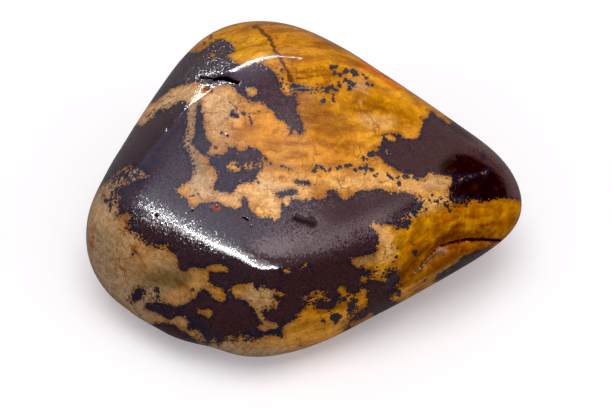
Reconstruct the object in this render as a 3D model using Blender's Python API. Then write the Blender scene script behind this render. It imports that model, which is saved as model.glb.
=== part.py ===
"""A tumbled jasper: one polished stone that rests on a small flat spot.

Broken jasper has flat faces, and tumbling grinds the edges between them round. The stone is made
in the same order. Ground faces bound a block, their edges are worn into one closed skin, and then
the folds, cracks, pits and dents that polishing leaves behind are sunk into that skin. All lengths
below are in millimetres, and the stone is moved to metres and to its resting place at the end.
"""

import math
from dataclasses import dataclass

import bmesh
import bpy
import numpy as np
from mathutils import Vector

METRES_PER_MM = 0.001

# The ground faces: azimuth and elevation of the outward direction in degrees, and the distance
# from the heart of the stone to the face in millimetres. The stone measures 38 x 30 x 21 mm.
GROUND_FACES = {
    "tip": (-2, -1, 20.0),
    "tip_back": (23, 15, 17.4),
    "right_back": (51, 28, 12.3),
    "back": (83, 35, 15.5),
    "back_left": (127, 29, 18.2),
    "left_back": (153, 18, 15.9),
    "left_upper": (168, 8, 18.4),
    "left_end": (-175, -3, 20.0),
    "left_low": (-158, -15, 20.8),
    "front_left_corner": (-140, -24, 20.2),
    "front_left_low": (-117, -32, 17.3),
    "front_low": (-92, -35, 15.9),
    "front_right_low": (-56, -30, 12.7),
    "tip_front": (-29, -19, 18.4),
    "top_right": (-53, 67, 10.1),
    "top_left": (-128, 73, 10.9),
    "crest_left": (157, 44, 13.9),
    "crest_back": (131, 56, 13.5),
    "back_slope": (92, 61, 13.4),
    "left_shoulder": (-166, 41, 16.6),
    "front_left": (-121, 15, 14.3),
    "front": (-88, 5, 13.7),
    "front_right": (-68, 6, 11.8),
    "right_slope": (-48, 37, 12.6),
    "right_back_slope": (25, 57, 13.0),
    "under_left": (156, -40, 16.0),
    "under_back": (90, 3, 16.3),
    "under_right": (30, -35, 14.5),
    "under_right_back": (64, -10, 12.6),
    "under_back_low": (105, -45, 13.3),
    "under_left_front": (-150, -58, 16.2),
    "under_front": (-80, -58, 13.8),
    "under_tip": (-12, -52, 14.2),
    "keel_left": (170, -72, 11.3),
    "keel_front": (-110, -72, 11.2),
    "keel_right": (-20, -71, 10.7),
    "keel_back": (75, -70, 10.7),
    "base": (0, -90, 9.5),
}
EDGE_SHARPNESS = 1.25  # per millimetre: a larger value leaves the worn edges tighter
LARGEST_REACH = 30.0
HALVINGS = 40

REST_DEPTH = 0.12  # how much of the lowest skin is worn away into the flat spot

GRID_CUTS = 27  # cuts across each side of the starting cube

# Where the grid is drawn together, to give fine marks enough faces: azimuth, elevation and radius
# in degrees, and the share by which the spacing is less at the centre.
LENSES = {
    "upper_side": (-90, 55, 75, 0.3),
    "crest_crack": (148, 49, 17, 0.48),
    "tip_fold": (-32, 5, 22, 0.48),
    "front_ridge": (-120, 37, 24, 0.35),
}

WAVINESS = 0.05
WAVE_LENGTHS = (9.0, 7.0, 5.5)

NODE_NAME = "jasper_stone"


def direction(azimuth, elevation):
    """The unit direction at an azimuth and elevation in degrees."""
    a, e = math.radians(azimuth), math.radians(elevation)
    return np.array([math.cos(a) * math.cos(e), math.sin(a) * math.cos(e), math.sin(e)])


NORMALS = np.array([direction(a, e) for a, e, _ in GROUND_FACES.values()])
REACHES = np.array([reach for _, _, reach in GROUND_FACES.values()])


def outside(points):
    """How far each point is outside the worn block: a soft maximum over its ground faces."""
    past = EDGE_SHARPNESS * (points @ NORMALS.T - REACHES)
    most = past.max(axis=1)
    return (most + np.log(np.exp(past - most[:, None]).sum(axis=1))) / EDGE_SHARPNESS


def worn_skin(directions):
    """The points of the worn skin along directions from the heart, found by halving."""
    near = np.zeros(len(directions))
    far = np.full(len(directions), LARGEST_REACH)
    for _ in range(HALVINGS):
        middle = (near + far) / 2
        past = outside(directions * middle[:, None]) > 0
        far = np.where(past, middle, far)
        near = np.where(past, near, middle)
    return directions * near[:, None]


@dataclass(frozen=True)
class Mark:
    """Something sunk into the skin, or raised from it where the depth is negative.

    The route is one or more directions from the heart, as azimuth and elevation. The mark fades
    away over its width, and a mark with a longer route fades towards its ends too.
    """

    route: tuple
    width: float
    depth: float

    def sink(self, points):
        """How deep the mark is at each point."""
        stops = worn_skin(np.array([direction(a, e) for a, e in self.route]))
        if len(stops) == 1:
            gap = np.linalg.norm(points - stops[0], axis=1)
            return self.depth * np.exp(-((gap / self.width) ** 2))
        runs = np.diff(stops, axis=0)
        lengths = np.linalg.norm(runs, axis=1)
        reached = np.concatenate([[0.0], np.cumsum(lengths)]) / lengths.sum()
        nearest = np.full(len(points), np.inf)
        place = np.zeros(len(points))
        for index, run in enumerate(runs):
            along = np.clip((points - stops[index]) @ run / (run @ run), 0, 1)
            gap = np.linalg.norm(points - stops[index] - along[:, None] * run, axis=1)
            here = reached[index] + along * (reached[index + 1] - reached[index])
            place = np.where(gap < nearest, here, place)
            nearest = np.minimum(nearest, gap)
        fade = np.sqrt(np.clip(4 * place * (1 - place), 0, 1))
        return self.depth * fade * np.exp(-((nearest / self.width) ** 2))


MARKS = {
    # The open crack across the crest, and the rusty pit beside it
    "crack": Mark(((146, 36), (147, 46), (146, 52), (145, 61)), width=0.36, depth=0.16),
    "rusty_pit": Mark(((155.5, 45.5),), width=0.36, depth=0.07),
    # The fold under the tip, and the lip that swells below it
    "fold": Mark(
        ((-55, -6), (-48, 2), (-39, 6), (-32, 9), (-26, 7), (-20, 3), (-13, -3)), width=0.6, depth=0.52
    ),
    "fold_lip": Mark(((-46, -7), (-38, 0), (-31, 3.5), (-25, 1), (-19, -3)), width=1.0, depth=-0.3),
    "tip_dent": Mark(((-18.5, -4),), width=1.1, depth=0.16),
    # Broad hollows, too shallow to break the polish
    "front_dent": Mark(((-118, 15),), width=2.4, depth=0.3),
    "low_notch": Mark(((-122.5, -21),), width=2.2, depth=0.42),
    "crest_saddle": Mark(((163, 30),), width=3.0, depth=0.22),
    # Chips along the left end
    "left_chip": Mark(((-155, -17), (-151, -20)), width=0.8, depth=0.16),
    "upper_chip": Mark(((168, 4), (163, 6)), width=0.8, depth=0.14),
    # The far side and the underside carry the same kinds of marks
    "far_crack": Mark(((66, 10), (76, 4), (88, 1), (99, -6)), width=0.8, depth=0.26),
    "far_dent": Mark(((118, 2),), width=3.2, depth=0.4),
    "far_pit": Mark(((140, -20),), width=1.0, depth=0.24),
    "under_dent": Mark(((-40, -48),), width=3.0, depth=0.35),
}


def waviness(points):
    """The faint unevenness that tumbling leaves on every ground face."""
    x, y, z = points.T
    waves = np.zeros(len(points))
    for length, (p, q, r) in zip(WAVE_LENGTHS, ((x, y, z), (y, z, x), (z, x, y))):
        turn = 2 * math.pi / length
        waves += np.sin(turn * p + 1.7 * np.sin(turn * 0.6 * q)) * np.cos(turn * 0.8 * r)
    return WAVINESS * waves / len(WAVE_LENGTHS)


def finished_skin(directions):
    """The skin with its waviness and its marks, pressed in towards the heart."""
    worn = worn_skin(directions)
    sunk = waviness(worn)
    for mark in MARKS.values():
        sunk = sunk + mark.sink(worn)
    return worn - directions * sunk[:, None]


def directions_of(stone):
    """The direction of each vertex from the heart."""
    points = np.array([vertex.co for vertex in stone.verts])
    return points / np.linalg.norm(points, axis=1)[:, None]


def drawn_together(directions):
    """The directions moved towards the centre of each lens that they lie in."""
    for azimuth, elevation, radius, share in LENSES.values():
        centre = direction(azimuth, elevation)
        cosine = np.clip(directions @ centre, -1, 1)
        angle = np.arccos(cosine)
        closer = angle * (1 - share * np.exp(-((angle / math.radians(radius)) ** 2)))
        sideways = directions - cosine[:, None] * centre
        sideways /= np.maximum(np.linalg.norm(sideways, axis=1), 1e-9)[:, None]
        directions = np.cos(closer)[:, None] * centre + np.sin(closer)[:, None] * sideways
    return directions


def start_block():
    """A cube cut into an even grid, with its grid lines spread to equal angles."""
    block = bmesh.new()
    bmesh.ops.create_cube(block, size=2)
    bmesh.ops.subdivide_edges(block, edges=block.edges[:], cuts=GRID_CUTS, use_grid_fill=True)
    for vertex in block.verts:
        vertex.co = Vector(math.tan(c * math.pi / 4) for c in vertex.co)
    return block


def rest_on_flat_spot(stone):
    """Wears the lowest skin flat and moves the stone so that the spot's plane is z = 0."""
    lowest = min(vertex.co.z for vertex in stone.verts) + REST_DEPTH
    for vertex in stone.verts:
        vertex.co.z = max(vertex.co.z, lowest)
    low = Vector(min(vertex.co[axis] for vertex in stone.verts) for axis in range(3))
    high = Vector(max(vertex.co[axis] for vertex in stone.verts) for axis in range(3))
    foot = Vector(((low.x + high.x) / 2, (low.y + high.y) / 2, low.z))
    bmesh.ops.translate(stone, vec=-foot, verts=stone.verts)


def polished_jasper():
    """The ochre and brown of the stone under a tumbler's polish."""
    material = bpy.data.materials.new("polished_jasper")
    material.use_nodes = True
    shader = material.node_tree.nodes["Principled BSDF"]
    shader.inputs["Base Color"].default_value = (0.30, 0.16, 0.07, 1.0)
    shader.inputs["Roughness"].default_value = 0.2
    shader.inputs["Metallic"].default_value = 0.0
    return material


def make_stone():
    """The whole stone as one closed mesh object."""
    stone = start_block()
    skin = finished_skin(drawn_together(directions_of(stone)))
    for vertex, point in zip(stone.verts, skin):
        vertex.co = Vector(point)
    rest_on_flat_spot(stone)
    bmesh.ops.scale(stone, vec=Vector((METRES_PER_MM,) * 3), verts=stone.verts)
    bmesh.ops.triangulate(stone, faces=stone.faces[:])
    bmesh.ops.recalc_face_normals(stone, faces=stone.faces[:])
    mesh = bpy.data.meshes.new(NODE_NAME)
    stone.to_mesh(mesh)
    stone.free()
    mesh.shade_smooth()
    mesh.materials.append(polished_jasper())
    piece = bpy.data.objects.new(NODE_NAME, mesh)
    bpy.context.scene.collection.objects.link(piece)
    return piece


def main():
    for leftover in list(bpy.data.objects):
        bpy.data.objects.remove(leftover, do_unlink=True)
    stone = make_stone()
    print(NODE_NAME, "has", len(stone.data.polygons), "faces")


if __name__ == "__main__":
    main()
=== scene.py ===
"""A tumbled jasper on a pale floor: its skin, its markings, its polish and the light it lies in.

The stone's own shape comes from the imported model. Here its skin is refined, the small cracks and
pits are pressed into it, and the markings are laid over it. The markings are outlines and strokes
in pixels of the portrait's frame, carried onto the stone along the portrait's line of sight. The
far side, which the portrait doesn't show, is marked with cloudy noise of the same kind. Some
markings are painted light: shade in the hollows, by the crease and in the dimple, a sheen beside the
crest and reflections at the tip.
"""

import logging
import math
from dataclasses import dataclass
from enum import Enum

import bpy
import numpy as np
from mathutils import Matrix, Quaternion, Vector, noise


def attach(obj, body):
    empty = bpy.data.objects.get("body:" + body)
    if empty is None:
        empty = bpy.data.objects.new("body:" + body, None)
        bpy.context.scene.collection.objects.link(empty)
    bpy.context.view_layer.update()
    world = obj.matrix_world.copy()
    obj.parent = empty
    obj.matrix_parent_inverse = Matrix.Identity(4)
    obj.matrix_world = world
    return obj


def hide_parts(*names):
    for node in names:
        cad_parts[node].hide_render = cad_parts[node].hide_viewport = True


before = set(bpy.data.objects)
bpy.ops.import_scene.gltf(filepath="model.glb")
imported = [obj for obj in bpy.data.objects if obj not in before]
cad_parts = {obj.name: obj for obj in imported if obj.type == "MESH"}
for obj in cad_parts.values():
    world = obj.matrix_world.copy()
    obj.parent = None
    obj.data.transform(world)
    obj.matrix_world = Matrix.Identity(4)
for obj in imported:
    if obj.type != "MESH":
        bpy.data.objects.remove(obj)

log = logging.getLogger("jasper")

MM = 0.001
STONE_NODE = "jasper_stone"
BODY = "root"

Point = tuple[float, float]
Route = tuple[Point, ...]
Socket = bpy.types.NodeSocket


class Tone(Enum):
    """The stone's colours as a screen shows them: red, green and blue out of 255."""

    CREAM = (226, 186, 140)
    PEACH = (248, 192, 122)
    SAND = (177, 149, 121)
    TAN = (220, 152, 68)
    APRICOT = (214, 136, 34)
    OCHRE = (207, 134, 0)
    GOLD = (240, 168, 14)
    AMBER = (178, 104, 0)
    ORANGE = (236, 104, 0)
    OLIVE = (178, 114, 0)
    BRONZE = (134, 70, 0)
    UMBER = (80, 40, 10)
    RUST = (198, 88, 8)
    STONE_GREY = (146, 124, 94)
    MAROON = (67, 46, 52)
    WINE = (76, 48, 50)
    COCOA = (72, 49, 50)
    MAUVE = (104, 80, 78)
    PLUM = (62, 52, 62)
    INK = (42, 42, 58)
    SLATE = (54, 51, 60)
    SOOT = (40, 32, 34)
    PITCH = (20, 13, 15)

    def light(self) -> np.ndarray:
        """The tone as the share of red, green and blue light that it gives back."""
        shown = np.array(self.value) / 255
        return np.where(shown <= 0.04045, shown / 12.92, ((shown + 0.055) / 1.055) ** 2.4)

    def paint(self) -> tuple[float, float, float, float]:
        """The tone as a shader's colour."""
        return (*self.light(), 1.0)


class Layer(Enum):
    """The attributes on the stone's skin that the material reads."""

    DARK = "dark_patch"
    FLECK = "dark_fleck"
    SEAM = "brown_seam"
    SPRAY = "crumb_spray"
    DULL = "dull_scar"
    # Painted shade in the pressed cracks, pits and crease, set by their depth.
    HOLLOW_SHADE = "sunk_shade"
    SLEEK = "sleek_skin"
    PALE_TONE = "pale_tone"
    DARK_TONE = "dark_tone"


# The portrait's outlines, in pixels of its frame, with y down. Points past the stone's own outline
# carry a patch round to the side.

CREST_BAND: Route = (
    (140, 100), (152, 103), (159, 99), (166, 93), (174, 88), (184, 85), (193, 82.5), (203, 83),
    (209, 86), (214, 86.5), (221, 84.5), (232, 86), (236, 91), (240, 95), (246, 98), (252, 101),
    (258, 102.5), (264, 104), (268, 109), (273, 111), (276, 116), (280, 120), (284, 121),
    (288, 126), (290, 132), (292, 134), (294, 130), (297, 132), (300, 136), (303, 133),
    (303.5, 127), (301, 118), (297, 111), (297, 103), (295, 96), (291, 96), (285, 95), (281, 89),
    (279, 82), (276, 75), (271, 70), (267, 66), (261, 63), (255, 63.5), (248, 66), (243, 66),
    (238, 64), (232, 59), (229, 55), (234, 52), (233, 47), (230, 42), (225, 39.5), (219, 38.5),
    (214, 40.5), (208, 46), (203, 49), (198, 52), (191, 53), (186, 50), (172, 40), (140, 80),
)
CREST_WINDOW: Route = ((246, 88), (252, 87), (257, 90), (256, 95), (251, 96), (247, 93))
LEFT_FIELD: Route = (
    (130, 124), (141, 126), (148, 120), (154, 114), (160, 109.5), (168, 107.5), (175, 104),
    (181, 100.5), (187, 103), (188, 110), (186, 118), (187, 126), (185, 134), (184, 141),
    (187, 149), (190, 157), (192, 165), (193, 172), (191, 179), (185, 184), (178, 188), (175, 191),
    (182, 195), (187, 199), (189, 204), (194, 207), (200, 204), (206, 202), (213, 201), (220, 203),
    (225, 206.5), (233, 208), (238, 208), (242, 205), (241, 200), (244, 196), (247, 199),
    (249, 205), (252, 211), (257, 215), (262, 219), (267, 218), (271, 217), (276, 219), (281, 215),
    (281, 207), (283, 202), (285, 206), (289, 205), (291, 199), (298, 199), (305, 200), (311, 200),
    (313, 196), (316, 199), (322, 199), (326, 197), (328, 191), (333, 189), (338, 192), (340, 198),
    (345, 199), (351, 196), (357, 192), (363, 190), (370, 190), (375, 189), (384, 189), (389, 191),
    (395, 192), (401, 192), (408, 193), (412, 194), (416, 199), (418, 204), (414, 208), (409, 212),
    (404, 216), (401, 220), (402, 224), (405, 228), (400, 228), (393, 226), (386, 224), (380, 226),
    (376, 224), (373, 223), (372, 227), (376, 232), (379, 237), (379, 243), (378, 249), (375, 253),
    (368, 256), (360, 257), (352, 259), (352, 264), (357, 267), (363, 267), (369, 270), (372, 273),
    (368, 276), (363, 275), (360, 279), (362, 283), (366, 282), (372, 279), (378, 280), (384, 281),
    (389, 281), (386, 275), (392, 272), (397, 274), (400, 279), (396, 284), (393, 287), (397, 290),
    (394, 294), (391, 297), (393, 301), (400, 303), (404, 304), (380, 320), (352, 334), (344, 331),
    (348, 324), (353, 318), (360, 311), (366, 305), (367, 299), (366, 290), (361, 289), (358, 293),
    (352, 295), (347, 293), (345, 289), (341, 286), (338, 289), (340, 293), (341, 298), (338, 300),
    (334, 300), (328, 299), (327, 296), (322, 292), (316, 291), (312, 292), (309, 296), (304, 296),
    (303, 299), (308, 302), (306, 306), (303, 309), (300, 312), (298, 317), (296, 320), (291, 322),
    (286, 325), (283, 328), (283, 336), (278, 336), (272, 336), (265, 337), (258, 339), (252, 338),
    (250, 335), (245, 335), (240, 335), (237, 338), (233, 336), (229, 337), (224, 338), (222, 342),
    (219, 344), (217, 340), (213, 338), (210, 342), (206, 343), (204, 338), (201, 333), (196, 330),
    (190, 331), (187, 328), (188, 322), (183, 317), (176, 316), (172, 319), (167, 319), (160, 315),
    (150, 311), (145, 307), (146, 304), (152, 303), (160, 303), (168, 304), (174, 306), (181, 305),
    (187, 303), (192, 300), (197, 296), (200, 292), (204, 289), (209, 292), (213, 297), (217, 300),
    (221, 302), (225, 299), (224, 294), (223, 289), (219, 287), (213, 286), (210, 283), (209, 276),
    (210, 271), (217, 272), (224, 272), (228, 269), (224, 266), (217, 265), (209, 266), (204, 269),
    (199, 269), (194, 267), (189, 268), (187, 271), (184, 272), (180, 270), (177, 266), (178, 260),
    (176, 256), (173, 252), (168, 250), (165, 245), (161, 244), (157, 245), (152, 243), (146, 242),
    (143, 238), (140, 235), (134, 232), (130, 229), (131, 225), (128, 224), (126, 221), (130, 219),
    (131, 215), (127, 214), (122, 215), (118, 218), (116, 216), (119, 211), (119, 205), (116, 201),
    (121, 197), (117, 193), (122, 187), (130, 182), (140, 179), (146, 177), (144, 172), (138, 169),
    (130, 166), (122, 168), (118, 171), (113, 176), (108, 180), (100, 187), (92, 190), (100, 150),
)
FRONT_WINDOW: Route = (
    (233, 287), (238, 285), (243, 285), (248, 284), (252, 283), (254, 287), (257, 289), (262, 286),
    (266, 288), (271, 290), (276, 290), (281, 292), (285, 295), (280, 297), (277, 294), (273, 295),
    (276, 300), (279, 303), (277, 308), (272, 308), (268, 311), (264, 309), (262, 312), (264, 316),
    (268, 320), (272, 322), (277, 324), (276, 328), (270, 329), (264, 331), (260, 330), (259, 326),
    (261, 322), (258, 317), (255, 312), (254, 308), (250, 305), (247, 302), (244, 299), (240, 297),
    (236, 298), (233, 295), (231, 291),
)
VERTICAL_STREAK: Route = (
    (197, 104), (201, 104), (202, 112), (204, 122), (205, 131), (208, 138), (211, 144), (209, 149),
    (206, 155), (200, 153), (196, 147), (192, 141), (194, 134), (195, 125), (196, 114),
)
CENTRE_PATCH: Route = (
    (206, 155), (212, 156), (218, 156), (224, 154), (228, 151), (228, 146), (232, 148), (236, 146),
    (238, 150), (244, 151), (247, 150), (248, 145), (253, 147), (258, 149), (262, 153), (266, 157),
    (269, 160), (262, 160), (258, 160), (259, 168), (257, 175), (255, 180), (251, 182), (246, 182),
    (240, 184), (236, 188), (232, 194), (227, 193), (220, 191), (213, 191), (213, 186), (216, 181),
    (217, 176), (216, 170), (212, 167), (208, 165), (209, 160),
)
CENTRE_WINDOWS: tuple[Route, ...] = (
    ((228, 162), (233, 161), (239, 164), (241, 169), (235, 172), (230, 171), (226, 167)),
    ((244, 165), (252, 162), (257, 164), (258, 168), (253, 169), (247, 169.5)),
)
RIGHT_FIELD: Route = (
    (422, 119), (428, 117), (429, 112), (433, 111), (437, 116), (443, 119), (447, 118), (452, 122),
    (450, 119), (462, 118), (500, 148), (530, 180), (532, 203), (524, 203), (515, 200), (506, 199),
    (497, 199), (493, 200), (489, 202), (483, 201), (476, 200), (468, 199), (461, 200), (458, 199),
    (452, 197), (449, 193), (448, 189), (451, 185), (453, 181), (450, 177), (445, 176), (440, 175),
    (434, 174), (430, 173), (427, 176), (424, 178), (419, 178), (415, 176), (410, 174), (404, 173),
    (398, 171), (394, 168), (389, 165), (384, 163), (382, 159), (377, 156), (375, 152), (379, 150),
    (376, 147), (381, 144), (382, 138), (382, 134), (388, 133), (394, 133.5), (400, 134),
    (404, 138), (412, 139), (417, 138), (419, 134), (421, 129), (423, 124),
)
RIGHT_WINDOWS: tuple[Route, ...] = (
    ((386, 136), (391, 135.5), (395, 138), (393, 140.5), (388, 139.5)),
    ((444, 118), (448, 119), (451, 123), (447, 123)),
)
LOWER_RIGHT_STRIP: Route = (
    (436, 277), (441, 272), (447, 268), (455, 263), (462, 257), (468, 253), (475, 251), (482, 249),
    (490, 246), (492, 250), (488, 256), (470, 266), (455, 274), (440, 281), (434, 281),
)
LEFT_LOWER_STRIP: Route = (
    (152, 324), (160, 323), (168, 323), (175, 325), (180, 329), (187, 332), (191, 336), (196, 341),
    (200, 346), (190, 352), (150, 335), (146, 328),
)
BOTTOM_BLOB: Route = (
    (314, 304), (318, 302), (324, 301), (330, 301), (336, 300), (337, 304), (333, 308), (329, 310),
    (322, 310), (316, 308),
)
LEFT_BLOTCH: Route = ((137, 288), (143, 290), (142, 297), (138, 300), (132, 300), (134, 293))
CENTRE_BAR: Route = (
    (295, 179), (302, 179.6), (310.5, 181.4), (310, 185.8), (302, 185.6), (295.5, 183.6),
)
LOWER_BAR: Route = (
    (276.5, 193), (286, 190), (295, 188.6), (297, 192.8), (287, 196.4), (278, 198),
)
BLACK_BLOTCH: Route = (
    (291, 83), (296, 84), (303, 86), (309, 88), (315, 90), (308, 91), (300, 91), (294, 90),
)
DULL_SCAR: Route = (
    (293, 219), (296, 213), (299, 213), (304, 217), (311, 216), (317, 219), (318, 224), (314, 228),
    (309, 227), (303, 224), (297, 222),
)
RUSTY_PIT: Route = ((200.5, 92), (202, 88.5), (207, 86.8), (211, 87.3), (210.5, 90), (206, 93), (202, 94))


@dataclass(frozen=True)
class Patch:
    """A dark area of the stone, with the windows of pale stone inside it."""

    outline: Route
    windows: tuple[Route, ...] = ()


DARK_PATCHES = (
    Patch(CREST_BAND, (CREST_WINDOW,)),
    Patch(LEFT_FIELD, (FRONT_WINDOW,)),
    Patch(VERTICAL_STREAK),
    Patch(CENTRE_PATCH, CENTRE_WINDOWS),
    Patch(RIGHT_FIELD, RIGHT_WINDOWS),
    Patch(LOWER_RIGHT_STRIP),
    Patch(LEFT_LOWER_STRIP),
    Patch(BOTTOM_BLOB),
    Patch(LEFT_BLOTCH),
    Patch(BLACK_BLOTCH),
    Patch(CENTRE_BAR),
    Patch(LOWER_BAR),
)

# Small round flecks: x, y and radius in pixels.
CREST_FLECKS = (
    (204, 43, 1.6), (211, 37, 1.8), (282, 70, 1.8), (276, 69, 1.2), (283, 78, 1.5), (281, 86, 1.5),
)
DENDRITE_CLUSTER = (
    (332, 67, 2.6), (336, 67, 2.2), (335, 73, 2.4), (341, 74, 2.6), (346, 71, 2.4), (353, 71, 2.6),
    (356, 74, 2.4), (363, 74, 1.8), (366, 77, 2.0), (346, 80, 2.2), (340, 84, 2.4), (350, 83, 2.6),
    (354, 84, 2.0), (350, 88, 2.2), (368, 83, 1.6), (372, 84, 1.8), (322, 88, 2.0), (328, 88, 2.4),
    (332, 87, 2.2), (336, 90, 2.4), (328, 93, 2.2), (333, 96, 2.0), (324, 101, 2.0), (334, 101, 1.8),
)
DENDRITE_LINE = (
    (315, 171, 2.2), (317, 167, 2.0), (322, 167, 2.0), (325, 170, 1.5), (330, 169, 1.3),
    (337, 169, 1.5), (340, 166, 2.0), (346, 165, 1.5), (350, 165, 2.0), (355, 170, 1.5),
    (361, 168, 2.5), (366, 168, 3.0), (372, 169, 2.0), (363, 161, 1.8), (363, 157, 1.5),
    (366, 160, 2.0), (370, 154, 3.0), (372, 152, 2.0), (365, 173, 1.5), (376, 175, 1.5),
    (388, 174, 1.8), (391, 177, 2.0), (398, 178, 1.5), (398, 184, 2.2), (404, 178, 1.6),
    (408, 177, 1.6), (414, 178, 1.6), (418, 180, 1.6), (270, 164, 1.7), (259, 182, 1.2),
    (313, 198, 2.0),
)
LOWER_RIGHT_FLECKS = (
    (420, 196, 1.5), (426, 196, 1.5), (433, 195, 1.8), (431, 201, 1.5), (437, 202, 1.8),
    (440, 198, 1.5), (445, 203, 1.8), (447, 207, 1.8), (451, 212, 2.2), (455, 203, 2.0),
    (452, 199, 1.6), (462, 200, 1.6), (466, 205, 1.4), (412, 212, 1.8), (416, 208, 1.8),
    (420, 207, 1.5), (427, 208, 1.3), (415, 215, 1.5), (417, 217, 1.3), (409, 222, 2.5),
    (405, 226, 2.5), (396, 256, 2.0), (398, 249, 1.5), (415, 253, 2.6), (411, 243, 1.0),
    (414, 245, 1.0), (393, 262, 1.2), (376, 268, 1.6), (376, 272, 1.2), (399, 278, 2.0),
    (424, 280, 2.0), (398, 293, 2.5), (443, 254, 1.0),
)
UPPER_LEFT_FLECKS = (
    (215, 147, 1.6), (222, 133, 1.3), (227, 135, 1.3), (232, 113, 3.0), (236, 115, 2.5),
    (244, 113, 2.0), (258, 111, 1.2), (180, 104, 2.0), (183, 107, 1.6), (178, 108, 1.6),
)
LEFT_ISLAND_FLECKS = (
    (121, 174, 3.0), (118, 179, 2.0), (127, 176, 2.5), (132, 172, 2.0), (136, 175, 2.5),
    (128, 180, 1.5), (107, 201, 2.5), (109, 205, 2.5), (110, 211, 1.5), (125, 171, 1.5),
    (113, 182, 1.5), (104, 196, 1.6),
)
LOWER_LEFT_FLECKS = (
    (156, 290, 2.5), (158, 292, 1.5), (157, 297, 2.0), (134, 254, 2.0), (193, 290, 1.3),
    (245, 339, 2.0), (246, 341, 1.6), (281, 337, 2.0),
)
BOTTOM_FLECKS = (
    (334, 318, 3.5), (338, 316, 3.0), (336, 321, 2.5), (323, 321, 2.0), (345, 299, 2.0),
    (353, 299, 2.0), (352, 305, 4.0), (350, 311, 3.0), (356, 301, 2.0),
)
ROUND_FLECKS = (
    CREST_FLECKS + DENDRITE_CLUSTER + DENDRITE_LINE + LOWER_RIGHT_FLECKS + UPPER_LEFT_FLECKS
    + LEFT_ISLAND_FLECKS + LOWER_LEFT_FLECKS + BOTTOM_FLECKS
)

# Small pale rings and flecks inside the dark areas: x, y and radius in pixels.
PALE_FLECKS = (
    (202, 312, 3.4), (208, 313, 4.2), (212, 55, 2.4), (286, 271.5, 2.6), (306, 265, 2.0),
    (387, 151.5, 1.5), (266, 300, 1.6),
)


@dataclass(frozen=True)
class Stroke:
    """A line on the stone: its route and its width in pixels."""

    route: Route
    width: float


DARK_STROKES = (
    Stroke(((230, 101), (234, 106), (236, 109)), 2.2),
    Stroke(((249, 114), (250, 120), (252, 125)), 2.4),
    Stroke(((159, 103), (166, 100), (170, 97), (175, 97)), 1.2),
    Stroke(((160, 107), (166, 105), (169, 103)), 1.4),
    Stroke(((147, 117), (152, 112), (157, 109)), 1.4),
    Stroke(((279, 165), (284, 167), (292, 170)), 1.6),
    Stroke(((184, 193), (190, 190.5), (198, 190)), 1.1),
    Stroke(((187, 196.5), (194, 194.5), (200, 195)), 1.1),
    Stroke(((258, 162), (262, 163), (263, 166), (261, 168)), 1.6),
    Stroke(((132, 304), (136, 309), (138, 314), (144, 318)), 1.4),
    Stroke(((206, 86), (211, 84), (214, 86)), 2.0),
)
BROWN_SEAMS = (
    Stroke(((253, 27), (258, 27), (262, 31), (265, 35)), 3.4),
    Stroke(((265, 35), (269, 38), (272, 42), (274, 47), (276, 51)), 4.2),
    Stroke(((276, 51), (281, 60), (284, 66), (287, 71), (290, 78), (291, 82)), 3.2),
    Stroke(((296, 78), (308, 77.5), (319, 75.5)), 1.8),
    # Along the fold's crease this dark brown line is partly the crease's own seam and partly painted
    # shade.
    Stroke(((420, 271), (424, 264), (430, 258), (438, 249), (448, 244), (461, 240.5)), 3.2),
    Stroke(((461, 240.5), (475, 239.5), (492, 240), (502, 240.5), (512, 237)), 3.8),
)
PALE_STROKES = (
    Stroke(((459, 181), (463, 178), (468, 176), (473, 176), (480, 174), (488, 171)), 1.1),
    Stroke(((352, 325), (362, 321), (372, 316)), 4.0),
)


@dataclass(frozen=True)
class Wash:
    """A soft colour along a route, fading over its reach in pixels: mostly stains, some painted light."""

    tone: Tone
    route: Route
    reach: float
    strength: float = 1.0


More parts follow.
